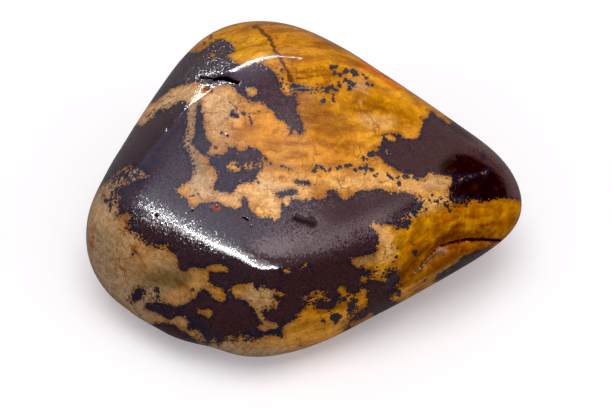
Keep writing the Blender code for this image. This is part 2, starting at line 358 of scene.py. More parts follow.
PALE_WASHES = (
    Wash(Tone.CREAM, ((140, 122), (170, 102), (200, 95), (222, 108), (232, 122)), 23),
    Wash(Tone.SAND, ((190, 110), (190, 150), (196, 172), (204, 184)), 12, 0.95),
    Wash(Tone.STONE_GREY, ((198, 168), (203, 186)), 9, 0.75),
    Wash(Tone.SAND, ((222, 128), (230, 142)), 16, 0.5),
    Wash(Tone.APRICOT, ((252, 128), (300, 145), (345, 152)), 26),
    Wash(Tone.AMBER, ((295, 118), (315, 130)), 12, 0.35),
    Wash(Tone.CREAM, ((196, 185), (222, 196), (245, 190)), 12, 0.7),
    Wash(Tone.PEACH, ((246, 186), (268, 190), (275, 208), (300, 188)), 14, 0.95),
    Wash(Tone.PEACH, ((335, 184), (375, 182), (415, 186)), 9, 0.7),
    Wash(Tone.GOLD, ((360, 122), (372, 130), (380, 128)), 14, 0.5),
    Wash(Tone.OCHRE, ((195, 45), (240, 36), (300, 40), (350, 60)), 38),
    Wash(Tone.GOLD, ((218, 34), (240, 44), (264, 50)), 12),
    Wash(Tone.GOLD, ((290, 50), (325, 56)), 6, 0.5),
    Wash(Tone.OCHRE, ((330, 96), (380, 105), (420, 112), (440, 122)), 30),
    Wash(Tone.AMBER, ((262, 72), (285, 76), (305, 80), (330, 82)), 11, 0.7),
    Wash(Tone.APRICOT, ((350, 92), (372, 88)), 9, 0.6),
    Wash(Tone.BRONZE, ((292, 108), (312, 114), (338, 118)), 11, 0.75),
    Wash(Tone.AMBER, ((300, 128), (318, 140), (345, 138)), 10, 0.5),
    Wash(Tone.ORANGE, ((366, 64), (380, 73), (398, 86)), 6, 0.9),
    Wash(Tone.GOLD, ((372, 76), (388, 86), (402, 95)), 5, 0.6),
    Wash(Tone.AMBER, ((264, 44), (272, 42), (284, 45)), 7, 0.6),
    Wash(Tone.GOLD, ((234, 44), (244, 46), (252, 50)), 12),
    Wash(Tone.AMBER, ((200, 25), (240, 18), (290, 20), (340, 42)), 9, 0.8),
    Wash(Tone.AMBER, ((290, 42), (312, 44), (330, 50)), 6, 0.6),
    Wash(Tone.SAND, ((96, 205), (95, 240), (105, 275), (130, 300), (165, 300)), 46),
    Wash(Tone.CREAM, ((100, 215), (112, 225), (150, 255), (170, 268)), 12, 0.5),
    Wash(Tone.STONE_GREY, ((150, 280), (176, 280), (196, 284)), 13, 0.75),
    Wash(Tone.TAN, ((170, 300), (200, 280), (215, 280)), 8, 0.5),
    Wash(Tone.GOLD, ((382, 230), (388, 245), (384, 258)), 12, 0.9),
    Wash(Tone.PEACH, ((380, 232), (388, 245), (384, 254)), 9),
    Wash(Tone.TAN, ((236, 292), (262, 296), (268, 316)), 20, 0.8),
    Wash(Tone.SAND, ((248, 300), (266, 300), (270, 322)), 14, 0.75),
    Wash(Tone.CREAM, ((256, 294), (268, 298)), 9, 0.7),
    Wash(Tone.APRICOT, ((295, 300), (320, 315), (350, 290)), 20, 0.9),
    Wash(Tone.OLIVE, ((425, 214), (460, 212), (490, 208), (520, 206)), 18),
    Wash(Tone.OCHRE, ((455, 216), (475, 210), (510, 210)), 9, 0.8),
    Wash(Tone.AMBER, ((430, 228), (465, 224), (490, 226), (515, 222)), 14, 0.95),
    Wash(Tone.BRONZE, ((450, 233), (480, 231), (505, 232)), 8, 0.9),
    Wash(Tone.RUST, ((406, 236), (423, 220), (450, 212), (473, 202)), 1.8, 0.8),
    Wash(Tone.PEACH, ((408, 214), (428, 206), (448, 199)), 8, 0.75),
    Wash(Tone.PEACH, ((431, 183), (446, 181)), 8, 0.8),
    Wash(Tone.STONE_GREY, ((357, 262), (373, 258)), 5, 0.8),
    Wash(Tone.STONE_GREY, ((418, 226), (428, 224)), 4, 0.7),
    Wash(Tone.APRICOT, ((388, 274), (408, 250), (428, 231), (460, 221), (505, 219)), 2.6, 0.7),
    Wash(Tone.BRONZE, ((394, 280), (412, 255), (430, 237), (458, 226), (500, 224)), 1.8, 0.75),
    Wash(Tone.APRICOT, ((404, 272), (418, 252), (436, 238), (465, 230), (510, 229)), 2.2, 0.6),
    Wash(Tone.BRONZE, ((400, 250), (414, 240), (434, 226), (462, 217), (500, 214)), 1.5, 0.5),
    # Painted shadow: the brown band just above the fold's crease, where the overhanging lip shades the
    # stone.
    Wash(Tone.UMBER, ((416, 264), (430, 248), (446, 240), (470, 236.5), (496, 237)), 3.6, 0.8),
    Wash(Tone.APRICOT, ((428, 268), (440, 254), (452, 248), (470, 245)), 3.4, 0.7),
    Wash(Tone.BRONZE, ((412, 284), (428, 274), (446, 262), (470, 250), (500, 246)), 2.0, 0.7),
    Wash(Tone.GOLD, ((404, 236), (416, 226), (430, 222)), 6, 0.5),
    Wash(Tone.BRONZE, ((445, 238), (425, 262), (410, 280)), 18, 0.85),
    Wash(Tone.TAN, ((400, 292), (412, 288), (424, 282)), 7, 0.6),
    Wash(Tone.OLIVE, ((424, 262), (440, 256), (455, 250)), 6, 0.55),
    Wash(Tone.OCHRE, ((404, 252), (414, 246), (425, 240)), 7, 0.6),
    Wash(Tone.AMBER, ((450, 250), (480, 244), (505, 242)), 9, 0.9),
    Wash(Tone.SAND, ((190, 345), (230, 352), (270, 356), (300, 352)), 14),
    Wash(Tone.TAN, ((296, 336), (325, 325), (345, 318)), 18, 0.75),
    Wash(Tone.RUST, ((140, 243), (135, 252), (141, 258), (148, 271)), 1.7, 0.6),
    Wash(Tone.UMBER, ((134, 252), (136, 254)), 2.2, 0.8),
    Wash(Tone.RUST, ((128, 230), (122, 225)), 3, 0.6),
    Wash(Tone.RUST, ((90, 215), (92, 232), (92, 250)), 2.4, 0.25),
    Wash(Tone.RUST, ((153, 247), (148, 253)), 2.4, 0.4),
    # Painted shade: a soft brown shadow in the shallow dimple below the cream patch.
    Wash(Tone.UMBER, ((156, 281), (172, 279), (184, 282)), 7, 0.42),
    Wash(Tone.BRONZE, ((100, 290), (115, 305), (132, 316)), 4, 0.8),
    Wash(Tone.RUST, ((202, 92), (207, 90)), 4.2),
    Wash(Tone.UMBER, ((204, 88), (209, 88), (211, 91)), 2.2),
    Wash(Tone.UMBER, ((203, 93),), 1.6, 0.8),
    Wash(Tone.ORANGE, ((131, 133), (147, 112), (160, 100)), 2.6, 0.4),
    # Partly cream stone and partly painted sheen: a strong cream laid along the crest's lower highlight.
    Wash(Tone.CREAM, ((168, 101), (185, 95), (200, 97)), 6, 0.8),
    Wash(Tone.SAND, ((459, 181), (473, 176), (488, 171)), 4, 0.95),
    Wash(Tone.CREAM, ((264, 186), (284, 190)), 8, 0.6),
    Wash(Tone.CREAM, ((250, 91),), 6, 0.8),
    Wash(Tone.OLIVE, ((372, 99), (382, 102), (394, 107)), 7, 0.6),
    Wash(Tone.OLIVE, ((345, 109), (354, 108)), 6, 0.5),
    Wash(Tone.CREAM, ((366, 120), (376, 122), (388, 122)), 7, 0.4),
    Wash(Tone.SAND, ((352, 85), (364, 86)), 6, 0.55),
    Wash(Tone.SAND, ((430, 186), (444, 182)), 6, 0.5),
    Wash(Tone.SAND, ((108, 186), (122, 174), (142, 176)), 10, 0.9),
    Wash(Tone.BRONZE, ((396, 280), (411, 264), (425, 251), (440, 241)), 6, 0.8),
    Wash(Tone.OCHRE, ((414, 250), (428, 239), (446, 231)), 3, 0.5),
    Wash(Tone.UMBER, ((403, 286), (416, 270), (428, 258)), 2.2, 0.7),
    Wash(Tone.RUST, ((396, 262), (408, 252), (420, 242)), 2.4, 0.45),
    Wash(Tone.BRONZE, ((436, 266), (450, 256), (466, 249), (484, 245)), 4, 0.7),
)
DARK_WASHES = (
    Wash(Tone.PLUM, ((110, 160), (150, 150), (170, 200), (230, 240)), 46, 0.7),
    Wash(Tone.PLUM, ((190, 70), (230, 75)), 26, 0.7),
    Wash(Tone.INK, ((215, 110), (200, 140), (230, 175)), 14, 0.6),
    Wash(Tone.WINE, ((225, 48), (262, 78), (285, 105), (300, 125)), 12, 0.7),
    Wash(Tone.COCOA, ((400, 150), (440, 160), (500, 180)), 34, 0.9),
    # Painted reflection: the lighter band along the tip's upper rim, where the polish mirrors the pale
    # room.
    Wash(Tone.MAUVE, ((486, 140), (505, 158), (518, 178), (524, 203)), 13, 0.9),
    Wash(Tone.RUST, ((214, 207.5), (217, 207)), 2.4, 0.9),
    Wash(Tone.MAROON, ((262, 252), (330, 262), (350, 280)), 14, 0.8),
    Wash(Tone.INK, ((138, 290), (137, 298)), 9),
    Wash(Tone.INK, ((150, 308), (175, 312), (205, 330)), 8, 0.8),
    Wash(Tone.INK, ((247, 336), (262, 334), (281, 332)), 7),
    Wash(Tone.INK, ((440, 274), (455, 268)), 8, 0.8),
    Wash(Tone.INK, ((292, 87), (312, 90)), 6),
    Wash(Tone.WINE, ((470, 252), (490, 248)), 8, 0.8),
)
FIRST_PALE_TONE = Tone.TAN
FIRST_DARK_TONE = Tone.MAROON

# Painted reflection: the dark stone under the tip is painted nearly black, as the dark room it mirrors.
TIP_DARK_REFLECTION: Route = (
    (438, 171), (442.5, 162), (449, 156.5), (457, 154), (466, 154.5), (475, 158), (483, 163),
    (491, 168.5), (498, 174.5), (503, 182), (506, 190), (507, 201), (490, 205), (470, 204), (450, 202),
    (444, 186),
)


@dataclass(frozen=True)
class Spray:
    """A scatter of tiny dark crumbs along a route, thinner towards its reach in pixels."""

    route: Route
    reach: float
    density: float = 1.0


SPRAYS = (
    Spray(((322, 90), (335, 72), (350, 80), (368, 78)), 12, 0.9),
    Spray(((314, 169), (345, 167), (372, 160)), 5, 0.8),
    Spray(((372, 172), (395, 178), (420, 178)), 5, 0.7),
    Spray(((410, 215), (425, 204), (448, 204), (468, 203)), 10),
    Spray(((400, 224), (412, 216), (425, 212)), 5, 0.9),
    Spray(((404, 250), (398, 262), (392, 276), (398, 292)), 9, 0.9),
    Spray(((268, 75), (290, 88), (296, 100)), 7, 0.6),
    Spray(((228, 108), (245, 114), (255, 122)), 8, 0.5),
    Spray(((108, 205), (118, 178), (136, 174)), 9),
    Spray(((128, 228), (142, 240), (160, 248)), 5, 0.7),
    Spray(((130, 300), (150, 292), (160, 296)), 10, 0.6),
    Spray(((310, 300), (345, 300), (352, 312), (336, 320)), 9, 0.8),
    Spray(((184, 112), (188, 140), (196, 170)), 5, 0.6),
    Spray(((215, 160), (240, 165), (262, 168)), 8, 0.6),
    Spray(((196, 344), (225, 340), (250, 340)), 6, 0.8),
    Spray(((362, 276), (378, 272), (392, 276)), 6, 0.8),
    Spray(((262, 288), (268, 305), (262, 322)), 8, 0.5),
)


@dataclass(frozen=True)
class Sleek:
    """Skin polished without facets along a route: its reach in pixels, and how sleek it is."""

    route: Route
    reach: float
    strength: float = 1.0


SLEEK_SKIN = (
    Sleek(((165, 130), (148, 152), (136, 170)), 17.0),
    Sleek(((204, 97), (189, 107), (177, 118)), 7.0, 0.7),
    Sleek(((228, 75), (244, 66), (262, 59), (284, 56), (304, 58)), 7.0),
    Sleek(((395, 148), (425, 162), (465, 158), (500, 185)), 24.0),
    Sleek(((325, 222), (345, 212), (375, 208), (405, 196)), 20.0, 0.75),
    Sleek(((222, 248), (240, 257)), 9.0, 0.5),
    Sleek(((258, 266), (280, 268)), 10.0, 0.6),
)


@dataclass(frozen=True)
class Press:
    """Something pressed into the skin along a route: its half width in pixels, its depth in mm.

    A depth below zero lets a small dome stand out. The last field says how strongly a hollow is
    painted dark, as painted shade, from 0 to 1.
    """

    route: Route
    half_width: float
    depth: float
    hollow_shade: float = 1.0


PRESSES = (
    Press(((200, 77.5), (207, 78), (216, 79)), 1.5, 0.14),
    Press(((214, 79), (219, 78.5), (224, 79), (230, 80), (238, 82.5)), 2.6, 0.3),
    Press(((218, 78), (226, 78), (230, 79.5)), 2.5, 0.3),
    Press(((203, 91), (208, 89)), 2.6, 0.05, hollow_shade=0.0),
    Press(((158, 280), (182, 281)), 15, 0.16, hollow_shade=0.0),
    Press(((156, 215),), 2.6, 0.14),
    Press(((192, 210),), 2.2, 0.12),
    Press(((212, 208), (216, 206.5)), 3.2, 0.15, hollow_shade=0.45),
    Press(((243, 217), (248, 220)), 1.6, 0.1),
    Press(((251, 226),), 1.6, 0.1),
    Press(((296, 217), (304, 220), (314, 222)), 4.6, 0.08, hollow_shade=0.3),
    Press(((361.5, 102),), 4.2, -0.13, hollow_shade=0.0),
    Press(((334, 54),), 2.6, -0.07, hollow_shade=0.0),
    Press(((365, 100),), 1.5, 0.1, hollow_shade=0.7),
    Press(((322, 97),), 3.0, -0.05, hollow_shade=0.0),
    Press(((245, 338),), 2.2, 0.12),
    Press(((225, 342),), 2.2, 0.1),
    Press(((424, 264), (430, 258), (438, 249), (448, 244), (461, 240.5)), 2.6, 0.16, hollow_shade=0.5),
    Press(((452, 243), (461, 240.5), (475, 239.5), (492, 240), (502, 240.5)), 2.6, 0.2, hollow_shade=0.55),
    Press(((222, 133), (227, 135)), 1.4, 0.06),
    Press(((232, 113), (236, 115)), 2.4, 0.05),
    Press(((285, 93), (300, 89), (312, 90)), 2.0, 0.05),
)


@dataclass(frozen=True)
class WornEdge:
    """An edge left standing between two ground faces: its reach in pixels, its height in mm."""

    route: Route
    reach: float
    height: float
    roundness: float = 1.2
    fade: float = 10.0

    def rise(self, places: np.ndarray) -> np.ndarray:
        """How far the edge stands up at each place, in millimetres.

        Args:
            places: Pixel places, one row each.

        Returns:
            One height for each place.
        """
        gap = np.hypot(gap_to_route(places, self.route), self.roundness) - self.roundness
        first, last = gap_to_route(places, self.route[:1]), gap_to_route(places, self.route[-1:])
        share = np.clip(np.minimum(first, last) / self.fade, 0, 1)
        return self.height * share * np.exp(-gap / self.reach)


WORN_EDGES = (
    WornEdge(
        (
            (168, 128), (176, 119), (182, 113), (189, 107), (197, 101), (205, 97), (213, 92.5),
            (221, 87.5), (229, 82),
        ),
        9.0, 0.075,
    ),
    WornEdge(
        (
            (214, 79), (223, 76), (232, 71), (241, 66), (249, 62), (260, 58), (272, 56.5), (283, 57),
            (299, 59), (312, 63),
        ),
        9.0, 0.07,
    ),
    WornEdge(
        (
            (122, 202), (131, 206), (150, 212), (170, 221), (193, 234), (207, 242), (221, 250),
            (240, 258.5), (257, 268.5), (278, 268.5), (294, 263.5),
        ),
        9.0, 0.05,
    ),
)


@dataclass(frozen=True)
class Portrait:
    """The view that the portrait was taken from, and how its frame lies over the stone."""

    heart: tuple[float, float, float] = (0.025, -1.007, 9.132)
    elevation: float = 55.0
    distance: float = 221.74
    lens: float = 150.0
    sensor: float = 36.0
    frame_width: int = 612
    frame_height: int = 408
    aim_right: float = 0.13
    aim_up: float = -1.15

    @property
    def right(self) -> np.ndarray:
        """The direction across the frame."""
        return np.array([1.0, 0.0, 0.0])

    @property
    def up(self) -> np.ndarray:
        """The direction up the frame."""
        e = math.radians(self.elevation)
        return np.array([0.0, math.sin(e), math.cos(e)])

    @property
    def toward(self) -> np.ndarray:
        """The direction from the stone to the camera."""
        e = math.radians(self.elevation)
        return np.array([0.0, -math.cos(e), math.sin(e)])

    def camera_place(self) -> np.ndarray:
        """Where the camera stands, in millimetres."""
        aim = self.aim_right * self.right + self.aim_up * self.up
        return np.array(self.heart) + aim + self.distance * self.toward

    def pixels(self, points: np.ndarray) -> np.ndarray:
        """Where points in millimetres fall in the frame.

        Args:
            points: Places in the stone's frame, one row each.

        Returns:
            The pixel across and the pixel down, one row for each point.
        """
        away = points - self.camera_place()
        reach = self.lens / self.sensor * self.frame_width / -(away @ self.toward)
        across = self.frame_width / 2 + (away @ self.right) * reach
        down = self.frame_height / 2 - (away @ self.up) * reach
        return np.column_stack([across, down])

    def mm_per_pixel(self) -> float:
        """The size of a pixel at the stone's heart."""
        return self.distance * self.sensor / (self.lens * self.frame_width)


def rounded(route: Route, closed: bool, steps: int = 3) -> np.ndarray:
    """A smooth curve through the points of a route.

    Args:
        route: The points to pass through.
        closed: Whether the last point leads back to the first.
        steps: How many points replace each one.

    Returns:
        The points of the curve, one row each.
    """
    stops = np.array(route, float)
    if len(stops) < 3:
        return stops
    if closed:
        before, after, later = np.roll(stops, 1, 0), np.roll(stops, -1, 0), np.roll(stops, -2, 0)
        here = stops
    else:
        padded = np.vstack([stops[0], stops, stops[-1]])
        before, here, after, later = padded[:-3], padded[1:-2], padded[2:-1], padded[3:]
    curve = []
    for step in range(steps):
        t = step / steps
        curve.append(
            here
            + 0.5 * t * (after - before)
            + 0.5 * t**2 * (2 * before - 5 * here + 4 * after - later)
            + 0.5 * t**3 * (3 * here - 3 * after + later - before)
        )
    points = np.stack(curve, axis=1).reshape(-1, 2)
    return points if closed else np.vstack([points, stops[-1]])


def gap_to_runs(places: np.ndarray, starts: np.ndarray, ends: np.ndarray) -> np.ndarray:
    """The distance from each place to the nearest of some straight runs.

    Args:
        places: Pixel places, one row each.
        starts: Where each run starts.
        ends: Where each run ends.

    Returns:
        One distance in pixels for each place.
    """
    nearest = np.full(len(places), np.inf)
    for start, end in zip(starts, ends):
        run = end - start
        along = np.clip((places - start) @ run / max(run @ run, 1e-9), 0, 1)
        gap = np.hypot(*(places - start - along[:, None] * run).T)
        nearest = np.minimum(nearest, gap)
    return nearest


def gap_to_route(places: np.ndarray, route: Route) -> np.ndarray:
    """The distance in pixels from each place to a route, which may be a single point."""
    if len(route) == 1:
        return np.hypot(*(places - np.array(route[0], float)).T)
    stops = rounded(route, closed=False)
    return gap_to_runs(places, stops[:-1], stops[1:])


def depth_inside(places: np.ndarray, outline: Route, margin: float = 24.0) -> np.ndarray:
    """How far each place lies inside a closed outline, in pixels and negative outside.

    Args:
        places: Pixel places, one row each.
        outline: The points of the outline.
        margin: How far outside the outline the depth is still worked out.

    Returns:
        One depth for each place.
    """
    corners = rounded(outline, closed=True)
    low, high = corners.min(0) - margin, corners.max(0) + margin
    near = np.all((places > low) & (places < high), axis=1)
    depth = np.full(len(places), -margin)
    spots = places[near]
    following = np.roll(corners, -1, 0)
    inside = np.zeros(len(spots), bool)
    for (x0, y0), (x1, y1) in zip(corners, following):
        if y0 == y1:
            continue
        spans = (y0 > spots[:, 1]) != (y1 > spots[:, 1])
        crossing = x0 + (spots[:, 1] - y0) * (x1 - x0) / (y1 - y0)
        inside ^= spans & (spots[:, 0] < crossing)
    gap = gap_to_runs(spots, corners, following)
    depth[near] = np.where(inside, gap, -gap)
    return depth


@dataclass(frozen=True)
class Cloud:
    """Soft noise over the skin: the width of its largest blots in millimetres, and its layers.

    The shift moves the noise, so that two clouds differ. The gain and the lift set its range, which
    is about -1 to 1 without them.
    """

    size: float
    octaves: int
    shift: float = 0.0
    gain: float = 1.0
    lift: float = 0.0

    def over(self, points: np.ndarray) -> np.ndarray:
        """One value for each point in millimetres."""
        moved = points / self.size + self.shift
        value = np.array([noise.fractal(Vector(spot), 1.0, 2.0, self.octaves) for spot in moved])
        return self.gain * value + self.lift

    def share(self, points: np.ndarray) -> np.ndarray:
        """One value for each point in millimetres, held between 0 and 1."""
        return np.clip(self.over(points), 0, 1)


# The noise that marks the far side.
FAR_PATCHES = Cloud(9.0, 4, gain=3.2, lift=-0.064)
FAR_FLECKS = Cloud(1.3, 3, 40.0, gain=0.5, lift=-0.31)
FAR_SEAMS = Cloud(9.0, 2, 80.0)
FAR_CRUMBS = Cloud(5.0, 2, 90.0, gain=1.4)
FAR_SAND = Cloud(9.0, 3, 5.0, gain=0.9, lift=0.5)
FAR_OCHRE = Cloud(14.0, 3, 60.0, gain=1.6, lift=0.1)
FAR_PLUM = Cloud(7.0, 3, 33.0, lift=0.5)


def tinted(share: np.ndarray, below: np.ndarray, tone: Tone) -> np.ndarray:
    """Colours with a tone laid over them by a share for each point."""
    return below + share[:, None] * (tone.light() - below)


@dataclass
class MarkingPainter:
    """Lays the portrait's markings, and noise of the same kind behind, on points of the skin."""

    portrait: Portrait
    points: np.ndarray
    normals: np.ndarray
    turned_away: float = -0.2
    turned_here: float = 0.02
    reach: float = 2.0
    wander_size: float = 1.6
    wander: float = 2.6
    shake_size: float = 0.7
    shake: float = 2.2
    swell: float = 0.35
    far_seam_width: float = 0.1
    far_seam_slope: float = 1.6
    # The painted dark reflection under the tip: how soft its edge is in pixels, and how black it gets.
    dark_reflection_softness: float = 3.0
    dark_reflection_depth: float = 0.7

    def __post_init__(self) -> None:
        """Finds where each point falls in the portrait, and how much of it the portrait shows."""
        self.places = self.portrait.pixels(self.points)
        facing = self.normals @ self.portrait.toward
        share = np.clip((facing - self.turned_away) / (self.turned_here - self.turned_away), 0, 1)
        self.seen = share * share * (3 - 2 * share)
        self.shaken = self.places + self.shake * self.drift(self.shake_size)

    def drift(self, size: float) -> np.ndarray:
        """A smooth random shift in pixels for each point, with blots of that size in millimetres."""
        across, down = Cloud(size, 3, 11.0), Cloud(size, 3, 23.0)
        return np.column_stack([across.over(self.points), down.over(self.points)])

    def to_mm(self, pixels: np.ndarray) -> np.ndarray:
        """Depths in pixels as millimetres, held within the painter's reach."""
        return np.clip(pixels * self.portrait.mm_per_pixel(), -self.reach, self.reach)

    def joined(self, shown: np.ndarray, behind: np.ndarray) -> np.ndarray:
        """What the portrait shows, faded into what the far side has."""
        seen = self.seen if shown.ndim == 1 else self.seen[:, None]
        return seen * shown + (1 - seen) * behind

    def inside(self, depth: np.ndarray, behind: Cloud) -> np.ndarray:
        """A depth in pixels joined to the far side's, both in millimetres within the reach."""
        far = np.clip(behind.over(self.points), -self.reach, self.reach)
        return self.joined(self.to_mm(depth), far)

    def stroked(self, strokes: tuple[Stroke, ...], depth: np.ndarray) -> np.ndarray:
        """A depth in pixels with ragged strokes laid over it."""
        for stroke in strokes:
            depth = np.maximum(depth, stroke.width / 2 - gap_to_route(self.shaken, stroke.route))
        return depth

    def faded(self, route: Route, reach: float) -> np.ndarray:
        """A share that fades from 1 on a route to nothing past its reach in pixels."""
        return np.exp(-((gap_to_route(self.places, route) / reach) ** 2))

    def dark_patches(self) -> np.ndarray:
        """How far inside a dark patch each point lies, in millimetres."""
        shown = np.full(len(self.points), -np.inf)
        for patch in DARK_PATCHES:
            depth = depth_inside(self.places, patch.outline)
            for window in patch.windows:
                depth = np.minimum(depth, -depth_inside(self.places, window))
            shown = np.maximum(shown, depth)
        for x, y, radius in PALE_FLECKS:
            shown = np.minimum(shown, gap_to_route(self.shaken, ((x, y),)) - radius)
        for stroke in PALE_STROKES:
            shown = np.minimum(shown, gap_to_route(self.places, stroke.route) - stroke.width / 2)
        return self.inside(shown, FAR_PATCHES)

    def dark_flecks(self) -> np.ndarray:
        """How far inside a small dark fleck or stroke each point lies, in millimetres."""
        shown = np.full(len(self.points), -np.inf)
        for x, y, radius in ROUND_FLECKS:
            shown = np.maximum(shown, radius + self.swell - gap_to_route(self.shaken, ((x, y),)))
        return self.inside(self.stroked(DARK_STROKES, shown), FAR_FLECKS)

    def brown_seams(self) -> np.ndarray:
        """How far inside a thin brown seam each point lies, in mm; along the crease, partly painted
        shade.
        """
        shown = self.stroked(BROWN_SEAMS, np.full(len(self.points), -np.inf))
        behind = self.far_seam_width - self.far_seam_slope * np.abs(FAR_SEAMS.over(self.points))
        return self.joined(self.to_mm(shown), behind)

    def crumb_spray(self) -> np.ndarray:
        """How thickly tiny dark crumbs are scattered at each point, from 0 to 1."""
        shown = np.zeros(len(self.points))
        for spray in SPRAYS:
            shown = np.maximum(shown, spray.density * self.faded(spray.route, spray.reach))
        return self.joined(shown, FAR_CRUMBS.share(self.points))

    def dull_scar(self) -> np.ndarray:
        """How far inside the unpolished scar, or the rusty pit, each point lies, in millimetres."""
        depth = np.maximum(
            depth_inside(self.places, DULL_SCAR), depth_inside(self.places, RUSTY_PIT)
        )
        return np.where(self.seen > 0.5, self.to_mm(depth), -self.reach)

    def sleek_skin(self) -> np.ndarray:
        """How free of facets the polish is at each point, from 0 to 1."""
        shown = np.zeros(len(self.points))
        for sleek in SLEEK_SKIN:
            shown = np.maximum(shown, sleek.strength * self.faded(sleek.route, sleek.reach))
        return self.seen * shown

    def washed(self, first: Tone, washes: tuple[Wash, ...]) -> np.ndarray:
        """The colour of each point once soft washes lie over a first tone.

        Args:
            first: The tone below them all.
            washes: The washes, the lowest one first.

        Returns:
            Red, green and blue for each point.
        """
        places = self.places + self.wander * self.drift(self.wander_size)
        colour = np.tile(first.light(), (len(places), 1))
        for wash in washes:
            gap = gap_to_route(places, wash.route) / wash.reach
            colour = tinted(wash.strength * np.exp(-(gap**2)), colour, wash.tone)
        return colour

    def pale_tone(self) -> np.ndarray:
        """The colour of the pale stone at each point, with painted shade and sheen in a few of its
        washes.
        """
        shown = self.washed(FIRST_PALE_TONE, PALE_WASHES)
        behind = tinted(FAR_SAND.share(self.points), Tone.TAN.light(), Tone.SAND)
        behind = tinted(FAR_OCHRE.share(self.points), behind, Tone.OCHRE)
        return self.joined(shown, behind)

    def dark_tone(self) -> np.ndarray:
        """The colour of the dark stone at each point, with painted reflections at the tip."""
        shown = self.washed(FIRST_DARK_TONE, DARK_WASHES)
        # Painted reflection: the dark room mirrored under the tip, laid in as near black.
        dark_reflection = np.clip(depth_inside(self.places, TIP_DARK_REFLECTION) / self.dark_reflection_softness + 0.5, 0, 1)
        shown = tinted(self.dark_reflection_depth * dark_reflection, shown, Tone.PITCH)
        behind = tinted(FAR_PLUM.share(self.points), Tone.MAROON.light(), Tone.PLUM)
        return self.joined(shown, behind)


